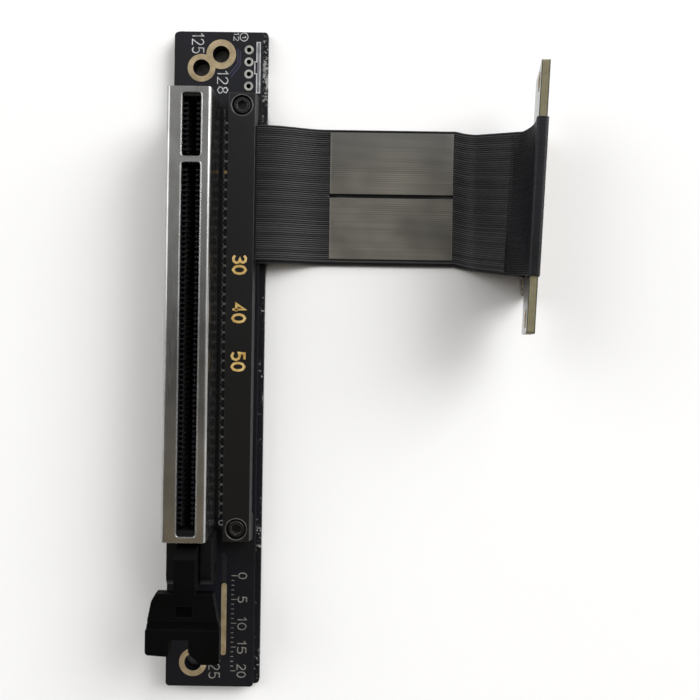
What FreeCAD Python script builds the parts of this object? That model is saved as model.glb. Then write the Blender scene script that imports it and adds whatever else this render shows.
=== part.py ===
import FreeCAD, Part
import math
import os
import re

import Sketcher
from FreeCAD import Placement, Rotation, Vector

# Extension cable for an expansion slot: a board with a shielded card slot, a flat ribbed cable
# clamped to it, and an upright card with an edge connector at the cable's far end.
# Frame: origin midway between the two mounting holes, on the underside; +X along the cable,
# +Y along the slot towards the power header, +Z out of the slot.

doc = FreeCAD.newDocument("slot_extension_cable")
sizes = doc.addObject("Spreadsheet::Sheet", "sizes")

# Driving dimensions in millimetres, angles in degrees
driving_sizes = {
    # slot board and back plate
    "hole_spacing": 125.0,
    "mounting_hole": 3.6,
    "upper_margin": 7.5,
    "lower_margin": 5.0,
    "side_margin": 5.7,
    "board_width": 18.4,
    "board_thickness": 1.6,
    "board_corner": 0.8,
    "plate_thickness": 1.2,
    "plate_overhang": 1.1,
    "plate_reach": 0.8,
    # bare metal on the board
    "pad_thickness": 0.05,
    "ring_size": 5.8,
    "extra_ring_size": 6.2,
    "extra_hole_across": 4.1,
    "extra_hole_along": 2.9,
    "header_across": 9.95,
    "header_inset": 3.6,
    "header_pitch": 2.54,
    "header_count": 4,
    "header_hole": 1.0,
    "strip_across": 6.35,
    "strip_inset": 6.6,
    "strip_gap": 9.6,
    "strip_width": 1.1,
    "strip_corner": 0.5,
    # steel shield over the slot
    "slot_start": 7.9,
    "slot_across": 0.55,
    "shield_length": 88.8,
    "shield_width": 8.7,
    "shield_height": 11.5,
    "shield_thickness": 0.25,
    "shield_clearance": 0.35,
    "shield_bend": 0.75,
    "short_opening": 12.4,
    "opening_margin": 1.175,
    "opening_bridge": 1.15,
    "opening_width": 3.7,
    "opening_corner": 0.6,
    "skirt_gap": 0.6,
    "tab_length": 1.5,
    "end_lip": 1.3,
    # moulded slot and its contacts
    "contact_pitch": 1.0,
    "contact_margin": 0.825,
    "gap_land": 0.4,
    "key_spacing": 3.0,
    "card_gap": 1.75,
    "card_depth": 8.2,
    "cavity_reach": 0.85,
    "cavity_width": 0.65,
    "divider_drop": 0.4,
    "housing_edge": 0.4,
    "rebate_height": 0.7,
    "pedestal_width": 1.9,
    "rebate_overrun": 0.4,
    "contact_width": 0.5,
    "contact_thickness": 0.2,
    "foot_reach": 5.2,
    "stem_offset": 1.32,
    "touch_offset": 0.62,
    "touch_height": 8.6,
    "tip_offset": 1.15,
    "tip_height": 10.5,
    # latch cheeks at the lower end of the slot
    "tail_width": 9.0,
    "tail_gap": 0.1,
    "tail_length": 10.5,
    "cheek_gap": 4.6,
    "cheek_height": 8.0,
    "cheek_round": 2.4,
    "tail_floor_length": 3.0,
    "tail_floor_height": 1.2,
    # retention latch, measured from its pivot
    "pivot_reach": 7.9,
    "pivot_height": 3.4,
    "pivot_clearance": 0.06,
    "trunnion_size": 2.2,
    "latch_clearance": 0.2,
    "boss_size": 4.2,
    "post_half": 1.9,
    "hook_reach": 6.2,
    "hook_under": 5.4,
    "hook_lip": 1.1,
    "hook_ramp": 2.0,
    "thumb_inner": 2.45,
    "thumb_outer": 14.9,
    "thumb_rise": 8.6,
    "thumb_thickness": 2.2,
    "thumb_neck": 11.1,
    "thumb_shoulder": 12.7,
    "thumb_width": 14.9,
    "thumb_slant": 1.5,
    "thumb_taper": 7.2,
    "thumb_crown": 0.55,
    "thumb_trim": 0.5,
    "lobe_drop": 1.2,
    "lobe_bevel": 2.3,
    "thumb_round": 0.7,
    "rib_root": 4.4,
    "rib_tip": 0.6,
    "notch_left": 2.8,
    "notch_depth": 3.5,
    "notch_inner": 0.95,
    "notch_outer": 3.3,
    "recess_width": 3.2,
    "recess_length": 2.0,
    "recess_depth": 1.2,
    "recess_start": 4.9,
    "dip_start": 7.8,
    "dip_width": 1.7,
    "dip_depth": 0.5,
    # bar that clamps the cable
    "bar_across": 6.3,
    "bar_start": 6.1,
    "bar_length": 92.6,
    "bar_width": 5.5,
    "bar_slope": 0.5,
    "bar_height": 2.8,
    "bar_foot": 4.6,
    "bar_ramp": 1.2,
    "bar_clearance": 0.1,
    "screw_inset": 2.5,
    "screw_across": 9.05,
    "screw_size": 2.0,
    "screw_clearance": 0.1,
    "screw_head": 3.6,
    "screw_head_height": 1.2,
    "screw_head_edge": 0.25,
    "head_gap": 0.3,
    "head_recess": 0.1,
    "rim_chamfer": 0.25,
    "socket_size": 2.0,
    "socket_depth": 0.8,
    "nut_size": 4.0,
    "nut_clearance": 0.1,
    "thread_clearance": 0.03,
    # two layers of flat cable
    "ribbon_width": 28.2,
    "ribbon_clearance": 0.2,
    "ribbon_thickness": 0.5,
    "ribbon_inset": 0.5,
    "ribbon_lift": 0.1,
    "layer_gap": 0.1,
    "layer_shift": 0.7,
    "bend_radius": 6.0,
    "climb_angle": 50.0,
    "film_start": 27.3,
    "film_length": 26.2,
    "film_lead": 0.5,
    "film_thickness": 0.1,
    "film_margin": 0.7,
    "film_gap": 0.85,
    # upright card with the edge connector
    "plug_reach": 66.7,
    "plug_shift": 3.2,
    "plug_tilt": 9.8,
    "plug_yaw": 2.5,
    "plug_length": 51.4,
    "plug_height": 11.8,
    "plug_thickness": 1.6,
    "plug_corner": 0.5,
    "tongue_height": 8.2,
    "tongue_bevel": 0.45,
    "plug_short_contacts": 11,
    "plug_long_contacts": 21,
    "finger_margin": 0.75,
    "finger_width": 0.7,
    "finger_length": 5.2,
    "finger_inset": 0.8,
    "notch_gap": 1.9,
    "plug_hole": 2.4,
    "plug_ring": 3.6,
    "ring_clearance": 0.02,
    "plug_hole_inset": 2.9,
    "plug_hole_drop": 4.0,
    "wrap_thickness": 0.35,
    "wrap_length": 29.7,
    "wrap_depth": 9.0,
    "wrap_round": 0.3,
    "ribbon_drop": 6.8,
}
for row, (alias, number) in enumerate(driving_sizes.items(), start=1):
    sizes.set(f"A{row}", alias)
    sizes.set(f"B{row}", str(number))
    sizes.setAlias(f"B{row}", alias)
doc.recompute()

# Places that follow from the driving dimensions
board_top = "(plate_thickness + board_thickness)"
board_left = "(-side_margin)"
board_right = "(board_width - side_margin)"
board_upper = "(hole_spacing / 2 + upper_margin)"
board_lower = "(-hole_spacing / 2 - lower_margin)"
extra_hole_y = "(hole_spacing / 2 + extra_hole_along)"
header_y = f"({board_upper} - header_inset)"
slot_upper = "(hole_spacing / 2 - slot_start)"
long_opening = "(shield_length - 2 * opening_margin - short_opening - opening_bridge)"
key_y = "(-opening_margin - short_opening - opening_bridge / 2)"
key_half = "(key_spacing / 2 - contact_margin)"
cavity_wall = "(card_gap / 2 + cavity_reach)"
gap_ends = f"({key_half} - opening_bridge / 2 + 2 * contact_margin + gap_land)"
short_contacts = f"(floor((short_opening - {gap_ends}) / contact_pitch) + 1)"
long_contacts = f"(floor(({long_opening} - {gap_ends}) / contact_pitch) + 1)"
short_gap = f"(({short_contacts} - 1) * contact_pitch + 2 * contact_margin)"
long_gap = f"(({long_contacts} - 1) * contact_pitch + 2 * contact_margin)"
short_gap_end = f"({key_y} + {key_half} + {short_gap})"
long_gap_end = f"({key_y} - {key_half} - {long_gap})"
housing_width = "(shield_width - 2 * shield_thickness - 2 * shield_clearance)"
housing_height = "(shield_height - shield_thickness)"
housing_upper = "(-shield_thickness - shield_clearance)"
housing_lower = "(-shield_length + shield_thickness + shield_clearance)"
pivot_y = f"({housing_lower} - pivot_reach)"
latch_width = "(cheek_gap - 2 * latch_clearance)"
bar_upper = "(hole_spacing / 2 - bar_start)"
bar_lower = f"({bar_upper} - bar_length)"
strip_length = f"({bar_lower} - strip_gap - {board_lower} - strip_inset)"
screw_y = f"({bar_upper} - screw_inset)"
screw_spacing = "(bar_length - 2 * screw_inset)"
head_seat = "(bar_height - screw_head_height - head_recess)"
stack_height = "(2 * ribbon_thickness + layer_gap)"
relief_height = f"({stack_height} + bar_clearance)"
ribbon_centre = f"({bar_upper} - bar_foot - bar_ramp - ribbon_clearance - ribbon_width / 2)"
plug_centre = f"({ribbon_centre} - plug_shift)"
plug_short = "((plug_short_contacts - 1) * contact_pitch)"
plug_long = "((plug_long_contacts - 1) * contact_pitch)"
tongue_length = f"({plug_short} + key_spacing + {plug_long} + 2 * finger_margin)"
plug_key_y = f"({tongue_length} / 2 - finger_margin - {plug_short} - key_spacing / 2)"
plug_bottom = "(-plug_height - tongue_height)"
plug_top = (f"(-{plug_bottom} * cos(plug_tilt)"
            " + (plug_thickness / 2 - tongue_bevel) * sin(plug_tilt))")


def formula(text):
    """Expression for a property, with each alias read from the sheet."""
    return re.sub(r"\b[a-z]+(?:_[a-z]+)+\b", lambda word: "sizes." + word.group(0), text)


def value(text):
    """Number that an expression of aliases gives now."""
    return float(sizes.evalExpression(text))


def bind(item, prop, text):
    item.setExpression(prop, formula(text))


def new_body(label, x="0", y="0", z="0"):
    """Body with its own placement; a row of like pieces may be separate solids."""
    body = doc.addObject("PartDesign::Body", label)
    body.Label = label
    body.AllowCompound = True
    for axis, text in (("x", x), ("y", y), ("z", z)):
        bind(body, f"Placement.Base.{axis}", text)
    return body


def new_sketch(body, name, plane="XY_Plane", offset="0"):
    """Sketch on one of the body's own planes, lifted along the plane's normal."""
    sketch = body.newObject("Sketcher::SketchObject", f"{body.Label}_{name}")
    support = next(item for item in body.Origin.OriginFeatures if item.Role == plane)
    sketch.AttachmentSupport = [(support, "")]
    sketch.MapMode = "FlatFace"
    bind(sketch, "AttachmentOffset.Base.z", offset)
    return sketch


def pin_point(sketch, curve, point, across, along):
    """Hold one point of a curve at its distances from the sketch's origin."""
    for kind, axis, text in (("DistanceX", -2, across), ("DistanceY", -1, along)):
        if text == "0":
            sketch.addConstraint(Sketcher.Constraint("PointOnObject", curve, point, axis))
            continue
        index = sketch.addConstraint(Sketcher.Constraint(kind, -1, 1, curve, point, value(text)))
        bind(sketch, f"Constraints[{index}]", text)


def add_polygon(sketch, corners):
    """Closed outline of straight lines through corners given as expressions."""
    places = [Vector(value(across), value(along), 0) for across, along in corners]
    lines = []
    for start, end in zip(places, places[1:] + places[:1]):
        lines.append(sketch.addGeometry(Part.LineSegment(start, end)))
    for line, following in zip(lines, lines[1:] + lines[:1]):
        sketch.addConstraint(Sketcher.Constraint("Coincident", line, 2, following, 1))
    for line, (across, along) in zip(lines, corners):
        pin_point(sketch, line, 1, across, along)


def add_rectangle(sketch, left, right, bottom, top):
    add_polygon(sketch, [(left, bottom), (right, bottom), (right, top), (left, top)])


def add_circle(sketch, across, along, diameter):
    centre = Vector(value(across), value(along), 0)
    curve = sketch.addGeometry(Part.Circle(centre, Vector(0, 0, 1), value(diameter) / 2))
    pin_point(sketch, curve, 3, across, along)
    index = sketch.addConstraint(Sketcher.Constraint("Diameter", curve, value(diameter)))
    bind(sketch, f"Constraints[{index}]", diameter)


def add_hexagon(sketch, across, along, flats):
    """Hexagon with two flats parallel to the sketch's vertical axis."""
    corner = f"({flats}) / sqrt(3)"
    side = f"({flats}) / 2"
    turns = [("0", "1"), ("1", "0.5"), ("1", "-0.5"), ("0", "-1"), ("-1", "-0.5"), ("-1", "0.5")]
    add_polygon(sketch, [
        (f"{across} + {turn} * {side}", f"{along} + {rise} * {corner}") for turn, rise in turns
    ])


def pad(body, sketch, length, symmetric=False, reverse=False):
    feature = body.newObject("PartDesign::Pad", f"{sketch.Label}_pad")
    feature.Profile = sketch
    bind(feature, "Length", length)
    feature.SideType = "Symmetric" if symmetric else "One side"
    feature.Reversed = reverse
    doc.recompute()
    return feature


def pocket(body, sketch, depth=None, reverse=False):
    """Cut against the sketch's normal, or through everything where no depth is given."""
    before = body.Shape.Volume
    feature = body.newObject("PartDesign::Pocket", f"{sketch.Label}_cut")
    feature.Profile = sketch
    if depth is None:
        feature.Type = "ThroughAll"
        feature.SideType = "Symmetric"
    else:
        bind(feature, "Length", depth)
        feature.Reversed = reverse
    doc.recompute()
    if not feature.Shape.Volume < before:
        raise ValueError(f"{feature.Label} removes nothing")
    return feature


def revolve(body, sketch, axis):
    feature = body.newObject("PartDesign::Revolution", f"{sketch.Label}_turn")
    feature.Profile = sketch
    feature.ReferenceAxis = (sketch, [axis])
    feature.Angle = 360
    doc.recompute()
    return feature


def repeat(body, features, count, length, axis="Y_Axis", reverse=True):
    """Straight row of features along one of the body's axes."""
    feature = body.newObject("PartDesign::LinearPattern", f"{features[0].Label}_row")
    feature.Originals = features
    direction = next(item for item in body.Origin.OriginFeatures if item.Role == axis)
    feature.Direction = (direction, [""])
    feature.Reversed = reverse
    bind(feature, "Length", length)
    bind(feature, "Occurrences", count)
    body.Tip = feature
    doc.recompute()
    return feature


def dress(body, kind, name, size_property, size, test):
    """Fillet or chamfer on the edges of the body's last feature that pass a test."""
    base = body.Tip
    names = [f"Edge{i}" for i, edge in enumerate(base.Shape.Edges, start=1) if test(edge)]
    feature = body.newObject(f"PartDesign::{kind}", f"{body.Label}_{name}")
    feature.Base = (base, names)
    bind(feature, size_property, size)
    doc.recompute()
    return feature


def runs_along(edge, axis):
    """True for a straight edge parallel to an axis."""
    if edge.Curve.TypeId != "Part::GeomLine":
        return False
    ends = [vertex.Point for vertex in edge.Vertexes]
    return (ends[1] - ends[0]).normalize().isEqual(axis, 1e-6) or (
        ends[0] - ends[1]).normalize().isEqual(axis, 1e-6)


def middle_of(edge):
    return edge.BoundBox.Center


def near(number, text):
    return abs(number - value(text)) < 1e-4


def add_mounting_holes(sketch):
    add_circle(sketch, "0", "hole_spacing / 2", "mounting_hole")
    add_circle(sketch, "0", "-hole_spacing / 2", "mounting_hole")
    add_circle(sketch, "extra_hole_across", extra_hole_y, "mounting_hole")


def make_board_blank(label, z, right, upper, thickness):
    """Board outline with small round corners and the three mounting holes."""
    body = new_body(label, z=z)
    outline = new_sketch(body, "outline")
    add_rectangle(outline, board_left, right, board_lower, upper)
    pad(body, outline, thickness)
    dress(body, "Fillet", "corners", "Radius", "board_corner", lambda edge: runs_along(edge, Vector(0, 0, 1)))
    holes = new_sketch(body, "mounting_holes")
    add_mounting_holes(holes)
    pocket(body, holes)
    return body


def make_slot_board():
    body = make_board_blank("slot_board", "plate_thickness", board_right, board_upper, "board_thickness")
    screws = new_sketch(body, "screw_holes")
    for along in (screw_y, f"({screw_y} - {screw_spacing})"):
        add_circle(screws, "screw_across", along, "screw_size + 2 * screw_clearance")
    pocket(body, screws)
    header = new_sketch(body, "header_hole")
    add_circle(header, "header_across", header_y, "header_hole")
    first = pocket(body, header)
    repeat(body, [first], "header_count", "(header_count - 1) * header_pitch")
    return body


def make_back_plate():
    body = make_board_blank("back_plate", "0", f"({board_right} + plate_overhang)",
                            f"({board_upper} + plate_reach)", "plate_thickness")
    seats = new_sketch(body, "nut_seats")
    for along in (screw_y, f"({screw_y} - {screw_spacing})"):
        add_hexagon(seats, "screw_across", along, "nut_size + 2 * nut_clearance")
    pocket(body, seats)
    return body


def make_mounting_pads():
    """Flat rings round the mounting holes; the two at the upper end run into each other."""
    body = new_body("mounting_pads", z=board_top)
    rings = [
        ("upper_ring", "0", "hole_spacing / 2", "ring_size"),
        ("extra_ring", "extra_hole_across", extra_hole_y, "extra_ring_size"),
        ("lower_ring", "0", "-hole_spacing / 2", "ring_size"),
    ]
    for name, across, along, diameter in rings:
        ring = new_sketch(body, name)
        add_circle(ring, across, along, diameter)
        pad(body, ring, "pad_thickness")
    holes = new_sketch(body, "holes")
    add_mounting_holes(holes)
    pocket(body, holes)
    return body


def make_ground_strip():
    body = new_body("ground_strip", "strip_across", f"({board_lower} + strip_inset)", board_top)
    outline = new_sketch(body, "outline")
    add_rectangle(outline, "-strip_width / 2", "strip_width / 2", "0", strip_length)
    pad(body, outline, "pad_thickness")
    dress(body, "Fillet", "ends", "Radius", "strip_corner", lambda edge: runs_along(edge, Vector(0, 0, 1)))
    return body


def make_slot_shield():
    """Folded steel cover: bent along the top, open below, with two card openings."""
    body = new_body("slot_shield", y=slot_upper, z=board_top)
    outline = new_sketch(body, "outline", "XZ_Plane")
    add_rectangle(outline, "-shield_width / 2", "shield_width / 2", "0", "shield_height")
    pad(body, outline, "shield_length")
    dress(body, "Fillet", "bends", "Radius", "shield_bend",
          lambda edge: runs_along(edge, Vector(0, 1, 0)) and near(middle_of(edge).z, "shield_height"))
    solid = body.Tip
    floor = next(f"Face{i}" for i, face in enumerate(solid.Shape.Faces, start=1)
                 if face.BoundBox.ZMax < value("shield_thickness"))
    shell = body.newObject("PartDesign::Thickness", "slot_shield_shell")
    shell.Base = (solid, [floor])
    bind(shell, "Value", "shield_thickness")
    shell.Reversed = True
    doc.recompute()
    openings = new_sketch(body, "openings", offset="shield_height")
    upper = "(-opening_margin)"
    between = f"({upper} - short_opening)"
    lower = f"({between} - opening_bridge - {long_opening})"
    for bottom, top in ((between, upper), (lower, f"({between} - opening_bridge)")):
        add_rectangle(openings, "slot_across - opening_width / 2", "slot_across + opening_width / 2", bottom, top)
    pocket(body, openings, "2 * shield_thickness")
    dress(body, "Fillet", "opening_corners", "Radius", "opening_corner",
          lambda edge: runs_along(edge, Vector(0, 0, 1))
          and near(abs(middle_of(edge).x - value("slot_across")), "opening_width / 2"))
    skirt = new_sketch(body, "skirt", "YZ_Plane")
    add_rectangle(skirt, "-shield_length + tab_length", "-tab_length", "0", "skirt_gap")
    pocket(body, skirt)
    window = new_sketch(body, "window", "XZ_Plane", "shield_length")
    inner = "(shield_width / 2 - shield_thickness)"
    add_rectangle(window, f"-{inner}", inner, "0", "shield_height - end_lip")
    pocket(body, window, "2 * shield_thickness")
    return body


def make_slot_housing():
    """Moulded slot: two card gaps, slits for the contacts, and two cheeks that carry the latch."""
    body = new_body("slot_housing", "slot_across", slot_upper, board_top)
    block = new_sketch(body, "block")
    left = f"(-{housing_width} / 2 - slot_across)"
    right = f"({housing_width} / 2 - slot_across)"
    add_rectangle(block, left, right, housing_lower, housing_upper)
    pad(body, block, housing_height)
    dress(body, "Chamfer", "edges", "Size", "housing_edge",
          lambda edge: runs_along(edge, Vector(0, 1, 0)) and near(middle_of(edge).z, housing_height))
    necks = new_sketch(body, "necks")
    tail_start = "(-shield_length - tail_gap)"
    add_rectangle(necks, "cheek_gap / 2", right, tail_start, housing_lower)
    add_rectangle(necks, left, "-cheek_gap / 2", tail_start, housing_lower)
    pad(body, necks, "cheek_height")
    cheeks = new_sketch(body, "cheeks")
    tail_end = f"({housing_lower} - tail_length)"
    add_rectangle(cheeks, "cheek_gap / 2", "tail_width / 2", tail_end, tail_start)
    add_rectangle(cheeks, "-tail_width / 2", "-cheek_gap / 2", tail_end, tail_start)
    pad(body, cheeks, "cheek_height")
    dress(body, "Fillet", "cheek_ends", "Radius", "cheek_round",
          lambda edge: runs_along(edge, Vector(1, 0, 0)) and near(middle_of(edge).y, tail_end)
          and near(middle_of(edge).z, "cheek_height"))
    floor = new_sketch(body, "floor")
    add_rectangle(floor, "-cheek_gap / 2", "cheek_gap / 2",
                  f"{housing_lower} - tail_floor_length", housing_lower)
    pad(body, floor, "tail_floor_height")
    pivot = new_sketch(body, "pivot", "YZ_Plane")
    add_circle(pivot, pivot_y, "pivot_height", "trunnion_size + 2 * pivot_clearance")
    pocket(body, pivot)
    rebates = new_sketch(body, "rebates")
    upper = f"({short_gap_end} + rebate_overrun)"
    lower = f"({long_gap_end} - rebate_overrun)"
    add_rectangle(rebates, "pedestal_width / 2", "shield_width / 2", lower, upper)
    add_rectangle(rebates, "-shield_width / 2", "-pedestal_width / 2", lower, upper)
    pocket(body, rebates, "rebate_height", reverse=True)
    gaps = new_sketch(body, "card_gaps", offset=housing_height)
    slits = new_sketch(body, "slits", offset=housing_height)
    for bottom, top in ((f"{key_y} + {key_half}", short_gap_end), (long_gap_end, f"{key_y} - {key_half}")):
        add_rectangle(gaps, f"-{cavity_wall}", cavity_wall, bottom, top)
        add_rectangle(slits, "pedestal_width / 2", cavity_wall, bottom, top)
        add_rectangle(slits, f"-{cavity_wall}", "-pedestal_width / 2", bottom, top)
    pocket(body, gaps, "card_depth")
    pocket(body, slits, f"{housing_height} - rebate_height")
    return body


def make_contact_dividers():
    """Thin walls between neighbouring contacts; they leave the card gap free along the middle."""
    body = new_body("contact_dividers", "slot_across", slot_upper, board_top)
    floor = f"({housing_height} - card_depth)"
    for name, toward, count in (("short", "+", short_contacts), ("long", "-", long_contacts)):
        walls = new_sketch(body, name, offset=floor)
        along = f"({key_y} {toward} (key_spacing + contact_pitch) / 2)"
        half = "(contact_pitch - cavity_width) / 2"
        for left, right in (("card_gap / 2", cavity_wall), (f"-{cavity_wall}", "-card_gap / 2")):
            add_rectangle(walls, left, right, f"{along} - {half}", f"{along} + {half}")
        first = pad(body, walls, "card_depth - divider_drop")
        repeat(body, [first], f"{count} - 1", f"({count} - 2) * contact_pitch", reverse=toward == "-")
    return body


def make_contacts(label, side):
    """Row of spring contacts: a foot on the board, a slanting stem and a tip that turns back."""
    body = new_body(label, "slot_across", slot_upper, board_top)
    profile = [
        ("foot_reach", "0"),
        ("stem_offset + contact_thickness", "contact_thickness"),
        ("touch_offset + contact_thickness", "touch_height"),
        ("tip_offset", "tip_height"),
        ("touch_offset", "touch_height"),
        ("stem_offset", "0"),
    ]
    for name, toward, count in (("short", "+", short_contacts), ("long", "-", long_contacts)):
        along = f"({key_y} {toward} key_spacing / 2)"
        strip = new_sketch(body, name, "XZ_Plane", f"-{along}")
        add_polygon(strip, [(f"{side}({across})", height) for across, height in profile])
        first = pad(body, strip, "contact_width", symmetric=True)
        repeat(body, [first], count, f"({count} - 1) * contact_pitch", reverse=toward == "-")
    return body


def make_retention_latch():
    """Lever on two trunnions: a hook towards the slot and a wide notched thumb plate."""
    body = new_body("retention_latch", "slot_across", f"{slot_upper} + {pivot_y}", f"{board_top} + pivot_height")
    boss = new_sketch(body, "boss", "YZ_Plane")
    add_circle(boss, "0", "0", "boss_size")
    pad(body, boss, latch_width, symmetric=True)
    web = new_sketch(body, "web", "YZ_Plane")
    under = "(thumb_rise - thumb_thickness)"
    add_polygon(web, [
        ("-post_half", "0"),
        ("post_half", "0"),
        ("post_half", "hook_under - hook_lip / 2"),
        ("hook_reach", "hook_under"),
        ("hook_reach", "hook_under + hook_lip"),
        ("hook_reach - hook_ramp", "thumb_rise"),
        ("-thumb_outer", "thumb_rise"),
        ("-thumb_outer", f"{under} - rib_tip"),
        ("-post_half", "rib_root"),
    ])
    pad(body, web, latch_width, symmetric=True)
    thumb = new_sketch(body, "thumb", offset=under)
    lobe_end = "(-thumb_outer - lobe_drop)"
    add_polygon(thumb, [
        ("thumb_neck / 2", "-thumb_inner"),
        ("thumb_shoulder / 2 - thumb_trim", "-thumb_inner - thumb_slant"),
        ("thumb_width / 2 - thumb_trim", "-thumb_inner - thumb_taper"),
        ("thumb_width / 2 - thumb_trim", lobe_end),
        ("notch_inner", lobe_end),
        ("notch_inner", "-thumb_outer"),
        ("-thumb_width / 2", "-thumb_outer + thumb_crown"),
        ("-thumb_width / 2", "-thumb_inner - thumb_taper"),
        ("-thumb_shoulder / 2", "-thumb_inner - thumb_slant"),
        ("-thumb_neck / 2", "-thumb_inner"),
    ])
    pad(body, thumb, "thumb_thickness")
    notch = new_sketch(body, "notch", offset="thumb_rise")
    notch_top = "(-thumb_outer + notch_depth)"
    add_polygon(notch, [
        ("-notch_left", lobe_end),
        ("notch_outer", lobe_end),
        ("notch_inner", f"{lobe_end} + lobe_bevel"),
        ("notch_inner", notch_top),
        ("-notch_left", notch_top),
    ])
    pocket(body, notch)
    dress(body, "Fillet", "corners", "Radius", "thumb_round",
          lambda edge: runs_along(edge, Vector(0, 0, 1)) and middle_of(edge).z > value(under)
          and middle_of(edge).y < value("-thumb_outer + thumb_crown + thumb_round / 2"))
    recess = new_sketch(body, "recess", offset="thumb_rise")
    recess_end = "(-recess_start - recess_length)"
    add_rectangle(recess, "-recess_width / 2", "recess_width / 2", recess_end, "-recess_start")
    pocket(body, recess, "recess_depth")
    dip = new_sketch(body, "dip", offset="thumb_rise")
    add_rectangle(dip, "-thumb_width / 2", "thumb_width / 2", "-dip_start - dip_width", "-dip_start")
    pocket(body, dip, "dip_depth")
    trunnion = new_sketch(body, "trunnion", "YZ_Plane")
    add_circle(trunnion, "0", "0", "trunnion_size")
    pad(body, trunnion, "tail_width", symmetric=True)
    return body


def make_clamp_bar():
    """Bar with a slanting face on the cable side, standing on a foot at each end."""
    body = new_body("clamp_bar", z=board_top)
    section = new_sketch(body, "section", "XZ_Plane", f"-{bar_upper}")
    add_polygon(section, [
        ("bar_across", "0"),
        ("bar_across + bar_width + bar_slope", "0"),
        ("bar_across + bar_width", "bar_height"),
        ("bar_across", "bar_height"),
    ])
    pad(body, section, "bar_length")
    relief = new_sketch(body, "relief", "YZ_Plane")
    add_polygon(relief, [
        (f"{bar_lower} + bar_foot", "0"),
        (f"{bar_upper} - bar_foot", "0"),
        (f"{bar_upper} - bar_foot - bar_ramp", relief_height),
        (f"{bar_lower} + bar_foot + bar_ramp", relief_height),
    ])
    pocket(body, relief)
    rim = "(screw_head + 2 * head_gap)"
    for name, diameter, depth in (
        ("shank_holes", "(screw_size + 2 * screw_clearance)", None),
        ("head_seats", rim, f"bar_height - {head_seat}"),
    ):
        holes = new_sketch(body, name, offset="bar_height")
        for along in (screw_y, f"({screw_y} - {screw_spacing})"):
            add_circle(holes, "screw_across", along, diameter)
        pocket(body, holes, depth)
    dress(body, "Chamfer", "rims", "Size", "rim_chamfer",
          lambda edge: edge.Curve.TypeId == "Part::GeomCircle" and near(middle_of(edge).z, "bar_height"))
    return body


def make_clamp_screws():
    """Socket head screws, turned about their axis, then the hexagon sunk in the head."""
    body = new_body("clamp_screws", "screw_across", screw_y, f"{board_top} + {head_seat}")
    section = new_sketch(body, "section", "XZ_Plane")
    shank_end = f"(-{board_top} - {head_seat})"
    add_polygon(section, [
        ("0", shank_end),
        ("screw_size / 2", shank_end),
        ("screw_size / 2", "0"),
        ("screw_head / 2", "0"),
        ("screw_head / 2", "screw_head_height - screw_head_edge"),
        ("screw_head / 2 - screw_head_edge", "screw_head_height"),
        ("0", "screw_head_height"),
    ])
    turned = revolve(body, section, "V_Axis")
    socket = new_sketch(body, "socket", offset="screw_head_height")
    add_hexagon(socket, "0", "0", "socket_size")
    sunk = pocket(body, socket, "socket_depth")
    repeat(body, [turned, sunk], "2", screw_spacing)
    return body


def make_clamp_nuts():
    """Thin nuts, as thick as the back plate that holds them."""
    body = new_body("clamp_nuts", "screw_across", screw_y)
    outline = new_sketch(body, "outline")
    add_hexagon(outline, "0", "0", "nut_size")
    add_circle(outline, "0", "0", "screw_size + 2 * thread_clearance")
    first = pad(body, outline, "plate_thickness")
    repeat(body, [first], "2", screw_spacing)
    return body


def plug_placement():
    """Place of the middle of the plug card's top edge; the card leans and stands on its tongue."""
    base = Vector(value("plug_reach"), value(plug_centre), value(plug_top))
    turn = Rotation(Vector(0, 0, 1), -value("plug_yaw"))
    lean = Rotation(Vector(0, 1, 0), -value("plug_tilt"))
    return Placement(base, turn.multiply(lean))


def new_plug_body(label, y="0", z="0"):
    """Body in the plug card's own frame: X across the card, Y along it, Z up to its top edge."""
    body = doc.addObject("PartDesign::Body", label)
    body.Label = label
    body.AllowCompound = True
    body.Placement = plug_placement().multiply(Placement(Vector(0, value(y), value(z)), Rotation()))
    return body


def make_plug_board():
    """Card with a notched, bevelled tongue for the edge connector and a hole near each end."""
    body = new_plug_body("plug_board")
    outline = new_sketch(body, "outline", "YZ_Plane")
    upper = f"({tongue_length} / 2)"
    notch_upper = f"({plug_key_y} + notch_gap / 2)"
    notch_lower = f"({plug_key_y} - notch_gap / 2)"
    add_polygon(outline, [
        ("-plug_length / 2", "0"),
        ("-plug_length / 2", "-plug_height"),
        (f"-{upper}", "-plug_height"),
        (f"-{upper}", plug_bottom),
        (notch_lower, plug_bottom),
        (notch_lower, "-plug_height"),
        (notch_upper, "-plug_height"),
        (notch_upper, plug_bottom),
        (upper, plug_bottom),
        (upper, "-plug_height"),
        ("plug_length / 2", "-plug_height"),
        ("plug_length / 2", "0"),
    ])
    pad(body, outline, "plug_thickness", symmetric=True)
    dress(body, "Fillet", "corners", "Radius", "plug_corner",
          lambda edge: runs_along(edge, Vector(1, 0, 0)) and near(abs(middle_of(edge).y), "plug_length / 2"))
    dress(body, "Chamfer", "bevels", "Size", "tongue_bevel",
          lambda edge: runs_along(edge, Vector(0, 1, 0)) and near(middle_of(edge).z, plug_bottom))
    holes = new_sketch(body, "holes", "YZ_Plane")
    for along in ("(plug_length / 2 - plug_hole_inset)", "(plug_hole_inset - plug_length / 2)"):
        add_circle(holes, along, "-plug_hole_drop", "plug_ring + 2 * ring_clearance")
    pocket(body, holes)
    return body


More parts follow.
